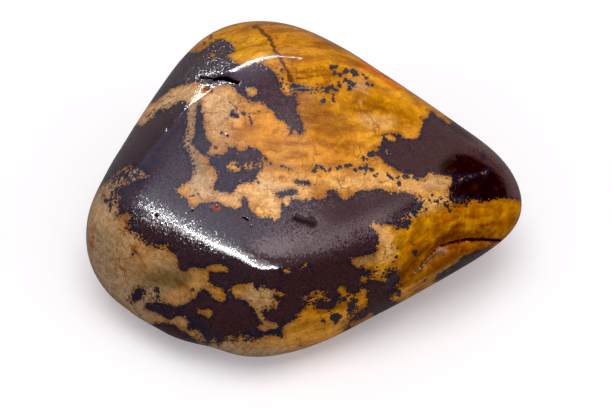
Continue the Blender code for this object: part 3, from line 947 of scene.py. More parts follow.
@dataclass
class JasperStone:
    """The stone itself: its refined skin, what is pressed into it, and the markings on it."""

    portrait: Portrait
    rounds: int = 2
    merge_gap: float = 1e-7
    presses_face: float = 0.05
    split_reaches: tuple[float, ...] = (4.2, 2.2)
    broad_press: float = 5.0

    def copied_skin(self) -> bpy.types.Object:
        """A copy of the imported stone's skin, merged, in quads and twice refined.

        Returns:
            The new piece.
        """
        bpy.ops.object.select_all(action="DESELECT")
        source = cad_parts[STONE_NODE]
        piece = bpy.data.objects.new("tumbled_jasper", source.data.copy())
        bpy.context.scene.collection.objects.link(piece)
        piece.select_set(True)
        bpy.context.view_layer.objects.active = piece
        bpy.ops.object.mode_set(mode="EDIT")
        bpy.ops.mesh.select_all(action="SELECT")
        bpy.ops.mesh.remove_doubles(threshold=self.merge_gap)
        bpy.ops.mesh.tris_convert_to_quads()
        bpy.ops.object.mode_set(mode="OBJECT")
        refine = piece.modifiers.new("refine", "SUBSURF")
        refine.levels = self.rounds
        refine.render_levels = self.rounds
        bpy.ops.object.modifier_apply(modifier=refine.name)
        return piece

    def spots(self, piece: bpy.types.Object) -> tuple[np.ndarray, np.ndarray]:
        """The places in millimetres and the normals of the piece's vertices.

        Args:
            piece: The stone.

        Returns:
            The places, and then the normals, one row for each vertex.
        """
        count = len(piece.data.vertices)
        places = np.zeros(count * 3)
        piece.data.vertices.foreach_get("co", places)
        normals = np.zeros(count * 3)
        piece.data.vertex_normals.foreach_get("vector", normals)
        return places.reshape(-1, 3) / MM, normals.reshape(-1, 3)

    def split_near_marks(self, piece: bpy.types.Object) -> None:
        """Splits the faces near the pressed marks and the worn edges, so that the skin holds them.

        Args:
            piece: The stone, which is changed.
        """
        routes = [press.route for press in PRESSES if press.half_width < self.broad_press]
        routes += [edge.route for edge in WORN_EDGES]
        for reach in self.split_reaches:
            points, normals = self.spots(piece)
            places = self.portrait.pixels(points)
            gap = np.min([gap_to_route(places, route) for route in routes], axis=0)
            near = (gap < reach) & (normals @ self.portrait.toward > self.presses_face)
            chosen = [all(near[list(face.vertices)]) for face in piece.data.polygons]
            piece.data.edges.foreach_set("select", np.zeros(len(piece.data.edges), bool))
            piece.data.vertices.foreach_set("select", np.zeros(len(near), bool))
            piece.data.polygons.foreach_set("select", chosen)
            bpy.context.tool_settings.mesh_select_mode = (False, False, True)
            bpy.ops.object.mode_set(mode="EDIT")
            bpy.ops.mesh.subdivide(number_cuts=1)
            bpy.ops.object.mode_set(mode="OBJECT")

    def press_marks(self, piece: bpy.types.Object) -> np.ndarray:
        """Presses the cracks, pits and dents into the skin, and lets the worn edges stand.

        Args:
            piece: The stone, which is changed.

        Returns:
            How deep the painted shade lies in each hollow, in millimetres.
        """
        points, normals = self.spots(piece)
        places = self.portrait.pixels(points)
        facing = normals @ self.portrait.toward > self.presses_face
        sunk = np.zeros(len(points))
        swollen = np.zeros(len(points))
        hollow_shade = np.zeros(len(points))
        for press in PRESSES:
            nearness = np.clip(1 - gap_to_route(places, press.route) / press.half_width, 0, 1)
            hollow = press.depth * nearness * nearness * (3 - 2 * nearness) * facing
            sunk = np.maximum(sunk, hollow)
            swollen = np.minimum(swollen, hollow)
            hollow_shade = np.maximum(hollow_shade, hollow * press.hollow_shade)
        sunk += swollen
        for edge in WORN_EDGES:
            sunk -= edge.rise(places) * facing
        inward = np.array(self.portrait.heart) - points
        inward /= np.linalg.norm(inward, axis=1)[:, None]
        pressed = (points + inward * sunk[:, None]) * MM
        piece.data.vertices.foreach_set("co", pressed.ravel())
        piece.data.update()
        return hollow_shade

    def keep_layer(self, piece: bpy.types.Object, layer: Layer, values: np.ndarray) -> None:
        """Stores a value, or a colour, for each vertex under the layer's name.

        Args:
            piece: The stone.
            layer: Which attribute it is.
            values: One number, or red, green and blue, for each vertex.
        """
        if values.ndim == 1:
            made = piece.data.attributes.new(layer.value, "FLOAT", "POINT")
            made.data.foreach_set("value", values.astype(np.float32))
        else:
            made = piece.data.attributes.new(layer.value, "FLOAT_COLOR", "POINT")
            full = np.column_stack([np.clip(values, 0, 1), np.ones(len(values))])
            made.data.foreach_set("color", full.astype(np.float32).ravel())

    def build(self) -> bpy.types.Object:
        """Makes the stone's piece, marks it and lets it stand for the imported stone.

        Returns:
            The finished piece, still without its material.
        """
        piece = self.copied_skin()
        self.split_near_marks(piece)
        triangles = sum(len(face.vertices) - 2 for face in piece.data.polygons)
        log.info("stone: %d vertices, %d triangles", len(piece.data.vertices), triangles)
        hollow_shade = self.press_marks(piece)
        points, normals = self.spots(piece)
        painter = MarkingPainter(self.portrait, points, normals)
        layers = {
            Layer.DARK: painter.dark_patches(),
            Layer.FLECK: painter.dark_flecks(),
            Layer.SEAM: painter.brown_seams(),
            Layer.SPRAY: painter.crumb_spray(),
            Layer.DULL: painter.dull_scar(),
            Layer.HOLLOW_SHADE: hollow_shade,
            Layer.SLEEK: painter.sleek_skin(),
            Layer.PALE_TONE: painter.pale_tone(),
            Layer.DARK_TONE: painter.dark_tone(),
        }
        for layer, values in layers.items():
            self.keep_layer(piece, layer, values)
        bpy.ops.object.shade_smooth()
        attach(piece, BODY)
        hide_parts(STONE_NODE)
        return piece


@dataclass(frozen=True)
class Blots:
    """Cloudy noise in a material: its blots per millimetre, its detail and its roughness."""

    per_mm: float
    detail: float
    rough: float


@dataclass(frozen=True)
class Ease:
    """A value eased from bottom to top as its source goes from low to high."""

    low: float
    high: float
    bottom: float = 0.0
    top: float = 1.0


@dataclass(frozen=True)
class Mottle:
    """Blots eased into a share."""

    blots: Blots
    ease: Ease


@dataclass(frozen=True)
class Shade:
    """What a colour is multiplied by in the dark and in the light parts of a mottle."""

    dark: tuple[float, float, float]
    light: tuple[float, float, float]


@dataclass(frozen=True)
class RaggedEdge:
    """How far an edge wanders and frays, and how soft it is, in millimetres."""

    wander: float
    fray: float
    softness: float


class NodeSheet:
    """A node tree under construction: places nodes and joins them."""

    def __init__(self, tree: bpy.types.NodeTree) -> None:
        """Starts on an empty tree."""
        self.tree = tree
        tree.nodes.clear()

    def node(self, kind: str, sockets: dict[str | int, object], **settings: object) -> bpy.types.Node:
        """Places one node.

        Args:
            kind: The node's type.
            sockets: A value, or another node's output, for each input by name or number.
            settings: The node's own settings.

        Returns:
            The node.
        """
        made = self.tree.nodes.new(kind)
        for name, value in settings.items():
            setattr(made, name, value)
        for key, value in sockets.items():
            if isinstance(value, Socket):
                self.tree.links.new(value, made.inputs[key])
            else:
                made.inputs[key].default_value = value
        return made

    def sum(self, kind: str, first: object, second: object = 0.0, third: object = 0.0) -> Socket:
        """The result of a Math node on up to three numbers."""
        made = self.node("ShaderNodeMath", {0: first, 1: second, 2: third}, operation=kind)
        return made.outputs[0]

    def vector(self, kind: str, *given: object) -> Socket:
        """The result of a Vector Math node on some vectors."""
        return self.node("ShaderNodeVectorMath", dict(enumerate(given)), operation=kind).outputs[0]

    def scaled(self, vector: object, scale: object) -> Socket:
        """A vector made longer or shorter."""
        return self.node("ShaderNodeVectorMath", {0: vector, 3: scale}, operation="SCALE").outputs[0]

    def blend(self, share: object, below: object, above: object, kind: str = "MIX") -> Socket:
        """One colour laid over another by a share."""
        sockets = {0: share, 6: below, 7: above}
        return self.node("ShaderNodeMix", sockets, data_type="RGBA", blend_type=kind).outputs[2]

    def painted(self, share: object, below: object, tone: Tone) -> Socket:
        """A tone laid over a colour by a share."""
        return self.blend(share, below, tone.paint())

    def shaded(self, colour: object, mottle: object, shade: Shade, amount: object = 1.0) -> Socket:
        """A colour multiplied by a shade, which a mottle from 0 to 1 turns from dark to light."""
        factor = self.blend(mottle, (*shade.dark, 1.0), (*shade.light, 1.0))
        return self.blend(amount, colour, factor, "MULTIPLY")

    def rise(
        self, value: object, low: float, high: float, bottom: object = 0.0, top: object = 1.0
    ) -> Socket:
        """A value eased from bottom to top as it goes from low to high."""
        sockets = {"Value": value, "From Min": low, "From Max": high, "To Min": bottom, "To Max": top}
        return self.node("ShaderNodeMapRange", sockets, interpolation_type="SMOOTHSTEP").outputs[0]

    def eased(self, value: object, ease: Ease) -> Socket:
        """A value eased as that ease says."""
        return self.rise(value, ease.low, ease.high, ease.bottom, ease.top)

    def noise(self, place: object, blots: Blots) -> bpy.types.bpy_prop_collection:
        """The outputs of a noise texture."""
        sizes = {"Scale": blots.per_mm, "Detail": blots.detail, "Roughness": blots.rough}
        return self.node("ShaderNodeTexNoise", {"Vector": place, **sizes}).outputs

    def speckle(self, place: object, blots: Blots) -> Socket:
        """Noise from 0 to 1."""
        return self.noise(place, blots)["Fac"]

    def wander(self, place: object, blots: Blots) -> Socket:
        """Noise from -0.5 to 0.5."""
        return self.sum("SUBTRACT", self.speckle(place, blots), 0.5)

    def mottle(self, place: object, mottle: Mottle) -> Socket:
        """Noise eased into a share."""
        return self.eased(self.speckle(place, mottle.blots), mottle.ease)

    def layer(self, layer: Layer, colour: bool = False) -> Socket:
        """What the skin's attribute of that name holds."""
        made = self.node("ShaderNodeAttribute", {}, attribute_name=layer.value)
        return made.outputs["Color" if colour else "Fac"]


BROAD_WANDER = Blots(1.5, 3.0, 0.6)
FINE_FRAY = Blots(6.0, 3.0, 0.65)


def ragged_edge_group() -> bpy.types.NodeTree:
    """A group that turns a depth in millimetres into a mask with a ragged edge.

    Returns:
        The node group.
    """
    tree = bpy.data.node_groups.new("ragged_edge", "ShaderNodeTree")
    sheet = NodeSheet(tree)
    tree.interface.new_socket("Place", in_out="INPUT", socket_type="NodeSocketVector")
    for name in ("Depth", "Wander", "Fray", "Softness"):
        tree.interface.new_socket(name, in_out="INPUT", socket_type="NodeSocketFloat")
    tree.interface.new_socket("Mask", in_out="OUTPUT", socket_type="NodeSocketFloat")
    given = sheet.node("NodeGroupInput", {}).outputs
    broad = sheet.wander(given["Place"], BROAD_WANDER)
    fine = sheet.wander(given["Place"], FINE_FRAY)
    moved = sheet.sum("MULTIPLY_ADD", broad, given["Wander"], given["Depth"])
    moved = sheet.sum("MULTIPLY_ADD", fine, given["Fray"], moved)
    share = sheet.sum("DIVIDE", moved, given["Softness"])
    sheet.node("NodeGroupOutput", {"Mask": sheet.rise(share, -1.0, 1.0)})
    return tree


@dataclass(frozen=True)
class PolishedJasper:
    """The stone's finish: marked, mottled and polished, with a fine grain in the dark parts."""

    name: str = "polished_jasper"
    roughness: float = 0.13
    dark_roughness: float = 0.15
    sleek_roughness: float = 0.085
    dull_roughness: float = 0.75
    specular: float = 0.44
    dark_grain: float = 0.26
    pale_grain: float = 0.2
    dark_glitter: float = 0.175
    pale_glitter: float = 0.09
    fully_sleek: float = 0.9
    facets_per_mm: float = 10.5
    fine_grain: Blots = Blots(7.5, 2.0, 0.6)
    unevenness: Blots = Blots(0.45, 1.0, 0.5)
    uneven_depth: float = 0.7
    bump_mm: float = 0.03
    patch_edge: RaggedEdge = RaggedEdge(0.5, 0.42, 0.055)
    fleck_edge: RaggedEdge = RaggedEdge(0.22, 0.4, 0.04)
    seam_edge: RaggedEdge = RaggedEdge(0.22, 0.3, 0.09)
    scar_edge: RaggedEdge = RaggedEdge(0.3, 0.4, 0.06)
    # The painted shade in the pressed hollows: its ragged edge, the depth it starts at, its strength.
    hollow_shade_edge: RaggedEdge = RaggedEdge(0.1, 0.12, 0.035)
    hollow_shade_line: float = 0.055
    hollow_shade_strength: float = 0.92
    scar_soot: float = 0.8
    crumbs: Blots = Blots(4.2, 3.0, 0.62)
    crumb_limit: Ease = Ease(-1.0, -0.05, 0.8, 0.6)
    spray_help: float = -0.2
    gaps: Blots = Blots(3.4, 3.0, 0.6)
    gap_limit: Ease = Ease(0.05, 0.9, 0.62, 0.84)
    crisp: float = 0.03
    streaks: Mottle = Mottle(Blots(0.9, 5.0, 0.62), Ease(0.3, 0.7))
    streak_shade: Shade = Shade((0.54, 0.44, 0.3), (1.24, 1.3, 1.2))
    streaked: Ease = Ease(0.02, 0.2, 1.0, 0.15)
    streak_stretch: float = 0.32
    dip: Ease = Ease(-5.0, 0.0, 0.6, 0.0)
    dip_start: float = 4.0
    yellow_blots: Mottle = Mottle(Blots(0.75, 3.0, 0.6), Ease(0.5, 0.68, 0.0, 0.6))
    yellowed: Ease = Ease(0.015, 0.09, 0.8, 0.0)
    sandy: Ease = Ease(0.01, 0.16, 0.5, 1.0)
    mottles: Mottle = Mottle(Blots(1.7, 4.0, 0.65), Ease(0.34, 0.66))
    mottle_shade: Shade = Shade((0.76, 0.7, 0.62), (1.12, 1.12, 1.14))
    sand_grain: Mottle = Mottle(Blots(6.5, 3.0, 0.7), Ease(0.34, 0.66))
    sand_shade: Shade = Shade((0.76, 0.7, 0.6), (1.12, 1.13, 1.14))
    cream_specks: Mottle = Mottle(Blots(5.0, 1.0, 0.5), Ease(0.67, 0.74, 0.0, 0.32))
    rusty_blots: Mottle = Mottle(Blots(2.3, 3.0, 0.65), Ease(0.6, 0.72, 0.0, 0.6))
    rim_stain: Ease = Ease(-0.45, -0.02, 0.0, 0.42)
    seam_strength: float = 0.9
    hairline_stir: Blots = Blots(1.6, 3.0, 0.5)
    hairline_reach: float = 0.9
    hairlines_per_mm: float = 0.6
    hairline_width: Ease = Ease(0.012, 0.05, 0.6, 0.0)
    hairline_runs: Mottle = Mottle(Blots(0.55, 2.0, 0.5), Ease(0.46, 0.6))
    red_blots: Mottle = Mottle(Blots(0.8, 3.0, 0.6), Ease(0.5, 0.7, 0.0, 0.5))
    blue_blots: Mottle = Mottle(Blots(1.6, 3.0, 0.6), Ease(0.54, 0.7, 0.0, 0.6))
    dark_rim: Ease = Ease(0.05, 0.5, 0.75, 0.0)
    dark_rim_blots: Blots = Blots(1.2, 3.0, 0.6)
    dark_rim_wander: float = 1.2
    dark_mottles: Mottle = Mottle(Blots(7.0, 2.0, 0.6), Ease(0.3, 0.7))
    dark_shade: Shade = Shade((0.7, 0.7, 0.75), (1.25, 1.2, 1.2))

    def material(self) -> bpy.types.Material:
        """Builds the material.

        Returns:
            The material.
        """
        made = bpy.data.materials.new(self.name)
        made.use_nodes = True
        sheet = NodeSheet(made.node_tree)
        place = self.place(sheet)
        dark, fleck, seam, scar, hollow_shade = self.masks(sheet, place)
        pale = self.pale_colour(sheet, place, seam)
        deep = sheet.painted(scar, self.dark_colour(sheet, place), Tone.SOOT)
        colour = sheet.painted(fleck, sheet.blend(dark, pale, deep), Tone.SLATE)
        # Painted shade: the pressed cracks, pits and the fold's crease darkened towards black by their
        # depth.
        colour = sheet.painted(sheet.sum("MULTIPLY", hollow_shade, self.hollow_shade_strength), colour, Tone.PITCH)
        rough = sheet.rise(dark, 0.0, 1.0, self.roughness, self.dark_roughness)
        rough = sheet.rise(sheet.layer(Layer.SLEEK), 0.0, 1.0, rough, self.sleek_roughness)
        worn = sheet.sum("MAXIMUM", scar, hollow_shade)
        rough = sheet.rise(worn, 0.0, 1.0, rough, self.dull_roughness)
        # Metallic over a dark colour: the shaded hollows and the scar give back almost no glint.
        glintless = sheet.sum("MAXIMUM", hollow_shade, sheet.sum("MULTIPLY", scar, self.scar_soot))
        shader = sheet.node(
            "ShaderNodeBsdfPrincipled",
            {
                "Base Color": colour,
                "Roughness": rough,
                "Specular IOR Level": self.specular,
                "Metallic": glintless,
                "Normal": self.grain(sheet, place, dark),
            },
        )
        sheet.node("ShaderNodeOutputMaterial", {"Surface": shader.outputs[0]})
        return made

    def place(self, sheet: NodeSheet) -> Socket:
        """The place on the stone in millimetres."""
        return sheet.scaled(sheet.node("ShaderNodeTexCoord", {}).outputs["Object"], 1 / MM)

    def masks(self, sheet: NodeSheet, place: Socket) -> tuple[Socket, ...]:
        """The masks of everything that has an edge.

        Args:
            sheet: The material's tree.
            place: The place on the stone in millimetres.

        Returns:
            The masks of the dark patches, the flecks, the seams, the scar and the painted shade in the
            hollows.
        """
        group = ragged_edge_group()

        def mask(depth: Socket, edge: RaggedEdge) -> Socket:
            """One ragged mask."""
            sockets = {"Wander": edge.wander, "Fray": edge.fray, "Softness": edge.softness}
            sockets |= {"Place": place, "Depth": depth}
            return sheet.node("ShaderNodeGroup", sockets, node_tree=group).outputs[0]

        depth = sheet.layer(Layer.DARK)
        limit = sheet.eased(depth, self.crumb_limit)
        limit = sheet.sum("MULTIPLY_ADD", sheet.layer(Layer.SPRAY), self.spray_help, limit)
        crumbs = sheet.sum("SUBTRACT", sheet.speckle(place, self.crumbs), limit)
        crumbs = sheet.rise(crumbs, 0.0, self.crisp)
        limit = sheet.eased(depth, self.gap_limit)
        filled = sheet.sum("SUBTRACT", sheet.speckle(place, self.gaps), limit)
        filled = sheet.rise(filled, 0.0, self.crisp, 1.0, 0.0)
        dark = sheet.sum("MULTIPLY", mask(depth, self.patch_edge), filled)
        dark = sheet.sum("MAXIMUM", dark, crumbs)
        fleck = mask(sheet.layer(Layer.FLECK), self.fleck_edge)
        seam = mask(sheet.layer(Layer.SEAM), self.seam_edge)
        scar = mask(sheet.layer(Layer.DULL), self.scar_edge)
        hollow = sheet.sum("SUBTRACT", sheet.layer(Layer.HOLLOW_SHADE), self.hollow_shade_line)
        hollow_shade = mask(hollow, self.hollow_shade_edge)
        return dark, fleck, seam, scar, hollow_shade

    def pale_colour(self, sheet: NodeSheet, place: Socket, seam: Socket) -> Socket:
        """The pale stone's colour, with its streaks, mottles, grain and brown seams.

        Args:
            sheet: The material's tree.
            place: The place on the stone in millimetres.
            seam: The mask of the seams.

        Returns:
            The colour.
        """
        colour = sheet.layer(Layer.PALE_TONE, colour=True)
        blue = sheet.node("ShaderNodeSeparateColor", {0: colour}).outputs["Blue"]
        sandy = sheet.eased(blue, self.sandy)
        streak = sheet.mottle(self.drawn_out(sheet, place), self.streaks)
        amount = sheet.eased(blue, self.streaked)
        colour = sheet.shaded(colour, streak, self.streak_shade, amount)
        yellow = sheet.mottle(place, self.yellow_blots)
        yellow = sheet.sum("MULTIPLY", yellow, sheet.eased(blue, self.yellowed))
        colour = sheet.painted(yellow, colour, Tone.GOLD)
        colour = sheet.shaded(colour, sheet.mottle(place, self.mottles), self.mottle_shade, sandy)
        colour = sheet.shaded(colour, sheet.mottle(place, self.sand_grain), self.sand_shade, sandy)
        colour = sheet.painted(self.hairlines(sheet, place), colour, Tone.BRONZE)
        specks = sheet.sum("MULTIPLY", sheet.mottle(place, self.cream_specks), sandy)
        colour = sheet.painted(specks, colour, Tone.CREAM)
        colour = sheet.painted(sheet.mottle(place, self.rusty_blots), colour, Tone.AMBER)
        stain = sheet.eased(sheet.layer(Layer.DARK), self.rim_stain)
        colour = sheet.painted(stain, colour, Tone.BRONZE)
        return sheet.painted(sheet.sum("MULTIPLY", seam, self.seam_strength), colour, Tone.UMBER)

    def hairlines(self, sheet: NodeSheet, place: Socket) -> Socket:
        """Where healed cracks, as thin as a hair, cross the pale stone.

        Args:
            sheet: The material's tree.
            place: The place on the stone in millimetres.

        Returns:
            How clearly a hairline shows, from 0 to 1.
        """
        reach = (self.hairline_reach,) * 3
        stir = sheet.noise(place, self.hairline_stir)["Color"]
        stirred = sheet.vector("MULTIPLY_ADD", stir, reach, place)
        sockets = {"Vector": stirred, "Scale": self.hairlines_per_mm}
        cells = sheet.node("ShaderNodeTexVoronoi", sockets, feature="DISTANCE_TO_EDGE")
        line = sheet.eased(cells.outputs["Distance"], self.hairline_width)
        return sheet.sum("MULTIPLY", line, sheet.mottle(place, self.hairline_runs))

    def drawn_out(self, sheet: NodeSheet, place: Socket) -> Socket:
        """The place drawn out along the stone's streaks, which dip under the tip.

        Args:
            sheet: The material's tree.
            place: The place on the stone in millimetres.

        Returns:
            The drawn out place.
        """
        parts = sheet.node("ShaderNodeSeparateXYZ", {0: place}).outputs
        past = sheet.sum("MAXIMUM", sheet.sum("SUBTRACT", parts["X"], self.dip_start), 0.0)
        front = sheet.eased(parts["Y"], self.dip)
        height = sheet.sum("SUBTRACT", parts["Z"], sheet.sum("MULTIPLY", past, front))
        along = sheet.sum("MULTIPLY", parts["X"], self.streak_stretch)
        return sheet.node("ShaderNodeCombineXYZ", {0: along, 1: parts["Y"], 2: height}).outputs[0]

    def dark_colour(self, sheet: NodeSheet, place: Socket) -> Socket:
        """The dark stone's colour: faint red and blue mottles, and a blacker rim.

        Args:
            sheet: The material's tree.
            place: The place on the stone in millimetres.

        Returns:
            The colour.
        """
        colour = sheet.layer(Layer.DARK_TONE, colour=True)
        colour = sheet.painted(sheet.mottle(place, self.red_blots), colour, Tone.WINE)
        colour = sheet.painted(sheet.mottle(place, self.blue_blots), colour, Tone.INK)
        wander = sheet.wander(place, self.dark_rim_blots)
        inner = sheet.sum("MULTIPLY_ADD", wander, self.dark_rim_wander, sheet.layer(Layer.DARK))
        colour = sheet.painted(sheet.eased(inner, self.dark_rim), colour, Tone.INK)
        return sheet.shaded(colour, sheet.mottle(place, self.dark_mottles), self.dark_shade)

    def grain(self, sheet: NodeSheet, place: Socket, dark: Socket) -> Socket:
        """The normal of the polish: faintly uneven, and fine grained in the dark parts.

        Args:
            sheet: The material's tree.
            place: The place on the stone in millimetres.
            dark: The mask of the dark parts.

        Returns:
            The normal.
        """
        depth = sheet.rise(dark, 0.0, 1.0, self.pale_grain, self.dark_grain)
        height = sheet.sum("MULTIPLY", sheet.speckle(place, self.fine_grain), depth)
        uneven = sheet.speckle(place, self.unevenness)
        height = sheet.sum("MULTIPLY_ADD", uneven, self.uneven_depth, height)
        sockets = {"Strength": 1.0, "Distance": self.bump_mm * MM, "Height": height}
        bump = sheet.node("ShaderNodeBump", sockets)
        sockets = {"Vector": place, "Scale": self.facets_per_mm}
        facets = sheet.node("ShaderNodeTexVoronoi", sockets).outputs["Color"]
        lean = sheet.vector("MULTIPLY_ADD", facets, (2.0, 2.0, 2.0), (-1.0, -1.0, -1.0))
        steep = sheet.vector("MULTIPLY", sheet.vector("MULTIPLY", lean, lean), lean)
        glitter = sheet.rise(dark, 0.0, 1.0, self.pale_glitter, self.dark_glitter)
        glitter = sheet.rise(sheet.layer(Layer.SLEEK), 0.0, self.fully_sleek, glitter, 0.0)
        lean = sheet.scaled(steep, glitter)
        return sheet.vector("NORMALIZE", sheet.vector("ADD", bump.outputs[0], lean))


def heading(azimuth: float, elevation: float) -> Vector:
    """The unit direction at an azimuth and elevation in degrees."""
    a, e = math.radians(azimuth), math.radians(elevation)
    return Vector((math.cos(a) * math.cos(e), math.sin(a) * math.cos(e), math.sin(e)))


def grey(share: float) -> tuple[float, float, float, float]:
    """A plain grey that gives back that share of the light."""
    return (share, share, share, 1.0)


class Reach(Enum):
    """What a lamp lights: the stone's surface, only the glints in its polish, or only the floor."""

    SURFACE = "surface"
    POLISH = "polish"
    FLOOR = "floor"


@dataclass(frozen=True)
class Lamp:
    """A soft lamp: where it hangs about the stone, how large it is and how bright it looks."""

    name: str
    azimuth: float
    elevation: float
    width: float
    height: float
    radiance: float
    reach: Reach
    roll: float = 0.0
    distance: float = 0.6
    tint: tuple[float, float, float] = (1.0, 1.0, 1.0)

    def hang(self, aim: Vector, lit: bpy.types.Collection) -> None:
        """Hangs the lamp so that it faces the stone.

        Args:
            aim: The point that it faces.
            lit: The objects that it lights.
        """
        away = heading(self.azimuth, self.elevation)
        data = bpy.data.lights.new(self.name, "AREA")
        data.shape = "RECTANGLE"
        data.size = self.width
        data.size_y = self.height
        data.energy = math.pi * self.radiance * self.width * self.height
        data.color = self.tint
        lamp = bpy.data.objects.new(self.name, data)
        lamp.location = aim + away * self.distance
        facing = (-away).to_track_quat("-Z", "Y") @ Quaternion((0, 0, 1), math.radians(self.roll))
        lamp.rotation_euler = facing.to_euler()
        lamp.light_linking.receiver_collection = lit
        lamp.visible_diffuse = self.reach is not Reach.POLISH
        lamp.visible_glossy = self.reach is Reach.POLISH
        bpy.context.scene.collection.objects.link(lamp)


LAMPS = (
    Lamp("top_softbox", 72, 78, 0.6, 0.6, 2.6, Reach.SURFACE, tint=(1.0, 0.99, 0.98)),
    Lamp("right_fill", 305, 28, 0.5, 0.4, 0.5, Reach.SURFACE),
    Lamp("crest_tube", 104, 18, 0.38, 0.009, 110.0, Reach.POLISH, roll=-42.0),
    Lamp("crest_mid_bulb", 117, 14, 0.045, 0.03, 70.0, Reach.POLISH, tint=(0.95, 0.98, 1.0)),
    Lamp("crest_low_bulb", 123.8, 1.6, 0.026, 0.026, 150.0, Reach.POLISH, tint=(0.95, 0.98, 1.0)),
    Lamp("ridge_bulb", 201, 30, 0.1, 0.1, 50.0, Reach.POLISH),
    Lamp("ridge_tube", 236, 14, 0.5, 0.025, 220.0, Reach.POLISH, roll=-30.0),
    Lamp("ridge_end_bulb", 270, 4, 0.2, 0.04, 170.0, Reach.POLISH),
    Lamp("floor_softbox", 275, 83, 0.34, 0.34, 4.8, Reach.FLOOR),
    Lamp("floor_left_box", 196, 20, 0.2, 0.2, 2.6, Reach.FLOOR),
    Lamp("floor_right_box", 346, 20, 0.2, 0.2, 3.0, Reach.FLOOR),
)


@dataclass(frozen=True)
class Glow:
    """A soft bright or dark part of the room, as the polish mirrors it."""

    azimuth: float
    elevation: float
    full: float
    gone: float
    light: tuple[float, float, float]


ROOM = (
    Glow(90, 40, 20, 70, (0.50, 0.46, 0.48)),
    Glow(150, 28, 20, 62, (0.32, 0.44, 0.66)),
    Glow(290, 62, 12, 28, (4.9, 4.5, 4.8)),
    Glow(190, 56, 10, 34, (1.7, 1.9, 2.3)),
    Glow(322, 36, 8, 24, (3.4, 2.9, 3.0)),
    Glow(0, 88, 5, 15, (1.8, 1.9, 2.2)),
    Glow(122, 38, 8, 22, (0.9, 1.05, 1.4)),
    Glow(111, 13, 3, 16, (1.6, 1.8, 2.2)),
    Glow(355, 5, 35, 40, (0.03, 0.02, 0.02)),
    Glow(15, -5, 31, 35, (0.03, 0.02, 0.02)),
    Glow(196, 36, 2, 26, (3.0, 3.2, 3.7)),
    Glow(226, 20, 2, 28, (6.8, 6.9, 7.2)),
    Glow(256, 4, 2, 28, (8.5, 8.3, 8.4)),
    Glow(229, 13, 3, 21, (17.0, 16.8, 17.0)),
)


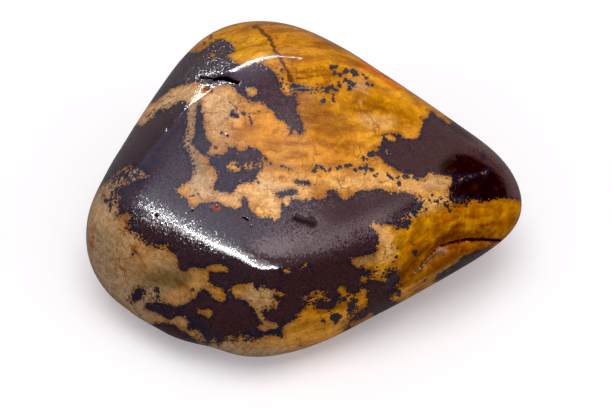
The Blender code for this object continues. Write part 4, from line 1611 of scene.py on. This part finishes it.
@dataclass
class Studio:
    """The pale floor, the soft light all round and the portrait's camera."""

    portrait: Portrait
    stone: bpy.types.Object
    floor_size: float = 3.0
    floor_cuts: int = 8
    floor_share: tuple[float, float, float] = (0.965, 0.958, 0.962)
    floor_lift: tuple[float, float, float] = (0.12, 0.10, 0.105)
    floor_bounce: float = 0.5
    floor_mirrored: float = 0.19
    ambient: tuple[float, float, float] = (0.5, 0.5, 0.52)
    black: tuple[float, float, float] = (0.014, 0.015, 0.019)
    room: tuple[float, float, float] = (0.55, 0.52, 0.54)
    backdrop: float = 0.97
    clipped: tuple[float, float] = (0.01, 10.0)

    def floor(self) -> bpy.types.Object:
        """Lays the floor under the stone: pale, with little of it thrown back at the stone.

        Returns:
            The floor.
        """
        bpy.ops.object.select_all(action="DESELECT")
        cuts = self.floor_cuts
        bpy.ops.mesh.primitive_grid_add(x_subdivisions=cuts, y_subdivisions=cuts, size=self.floor_size)
        floor = bpy.context.active_object
        floor.name = "pale_floor"
        made = bpy.data.materials.new("pale_paper")
        made.use_nodes = True
        sheet = NodeSheet(made.node_tree)
        path = sheet.node("ShaderNodeLightPath", {}).outputs
        seen, bounce = (*self.floor_share, 1.0), grey(self.floor_bounce)
        paper = sheet.blend(path["Is Diffuse Ray"], seen, bounce)
        paper = sheet.blend(path["Is Glossy Ray"], paper, grey(self.floor_mirrored))
        shader = sheet.node(
            "ShaderNodeBsdfPrincipled",
            {
                "Base Color": paper,
                "Roughness": 1.0,
                "Specular IOR Level": 0.0,
                "Emission Color": (*self.floor_lift, 1.0),
                "Emission Strength": path["Is Camera Ray"],
            },
        )
        sheet.node("ShaderNodeOutputMaterial", {"Surface": shader.outputs[0]})
        floor.data.materials.append(made)
        return floor

    def only(self, lit: bpy.types.Object) -> bpy.types.Collection:
        """A collection that holds only the object that some lamps light."""
        made = bpy.data.collections.new(f"{lit.name}_only")
        made.objects.link(lit)
        return made

    def sky(self) -> None:
        """Surrounds the stone with even light, and with a room for its polish to mirror."""
        world = bpy.data.worlds.new("soft_light")
        world.use_nodes = True
        world.cycles.sampling_method = "NONE"
        bpy.context.scene.world = world
        sheet = NodeSheet(world.node_tree)
        way = sheet.node("ShaderNodeTexCoord", {}).outputs["Generated"]
        mirrored = (*self.room, 1.0)
        for glow in ROOM:
            toward = tuple(heading(glow.azimuth, glow.elevation))
            near = sheet.node("ShaderNodeVectorMath", {0: way, 1: toward}, operation="DOT_PRODUCT")
            gone, full = math.cos(math.radians(glow.gone)), math.cos(math.radians(glow.full))
            share = sheet.rise(near.outputs["Value"], gone, full)
            mirrored = sheet.blend(share, mirrored, (*glow.light, 1.0))
        path = sheet.node("ShaderNodeLightPath", {}).outputs
        light = sheet.blend(path["Is Glossy Ray"], (*self.ambient, 1.0), mirrored)
        light = sheet.blend(path["Is Camera Ray"], light, grey(self.backdrop))
        shine = sheet.node("ShaderNodeBackground", {"Color": light, "Strength": 1.0})
        sheet.node("ShaderNodeOutputWorld", {"Surface": shine.outputs[0]})

    def camera(self) -> None:
        """Sets up the portrait's camera."""
        data = bpy.data.cameras.new("portrait")
        data.lens = self.portrait.lens
        data.sensor_width = self.portrait.sensor
        data.clip_start, data.clip_end = self.clipped
        camera = bpy.data.objects.new("portrait", data)
        camera.location = Vector(self.portrait.camera_place() * MM)
        camera.rotation_euler = Vector(-self.portrait.toward).to_track_quat("-Z", "Y").to_euler()
        bpy.context.scene.collection.objects.link(camera)
        bpy.context.scene.camera = camera

    def build(self) -> None:
        """Builds the whole studio."""
        self.camera()
        only_floor, only_stone = self.only(self.floor()), self.only(self.stone)
        self.sky()
        for lamp in LAMPS:
            lit = only_floor if lamp.reach is Reach.FLOOR else only_stone
            lamp.hang(Vector(self.portrait.heart) * MM, lit)
        view = bpy.context.scene.view_settings
        view.view_transform = "Standard"
        view.use_curve_mapping = True
        view.curve_mapping.black_level = self.black
        view.curve_mapping.update()


def main() -> None:
    """Builds the stone and its studio."""
    logging.basicConfig(level=logging.INFO, format="%(name)s: %(message)s")
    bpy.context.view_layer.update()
    portrait = Portrait()
    stone = JasperStone(portrait).build()
    stone.data.materials.clear()
    stone.data.materials.append(PolishedJasper().material())
    log.info("stone: marked and polished")
    Studio(portrait, stone).build()
    log.info("studio: floor, light and camera")


if __name__ == "__main__":
    main()
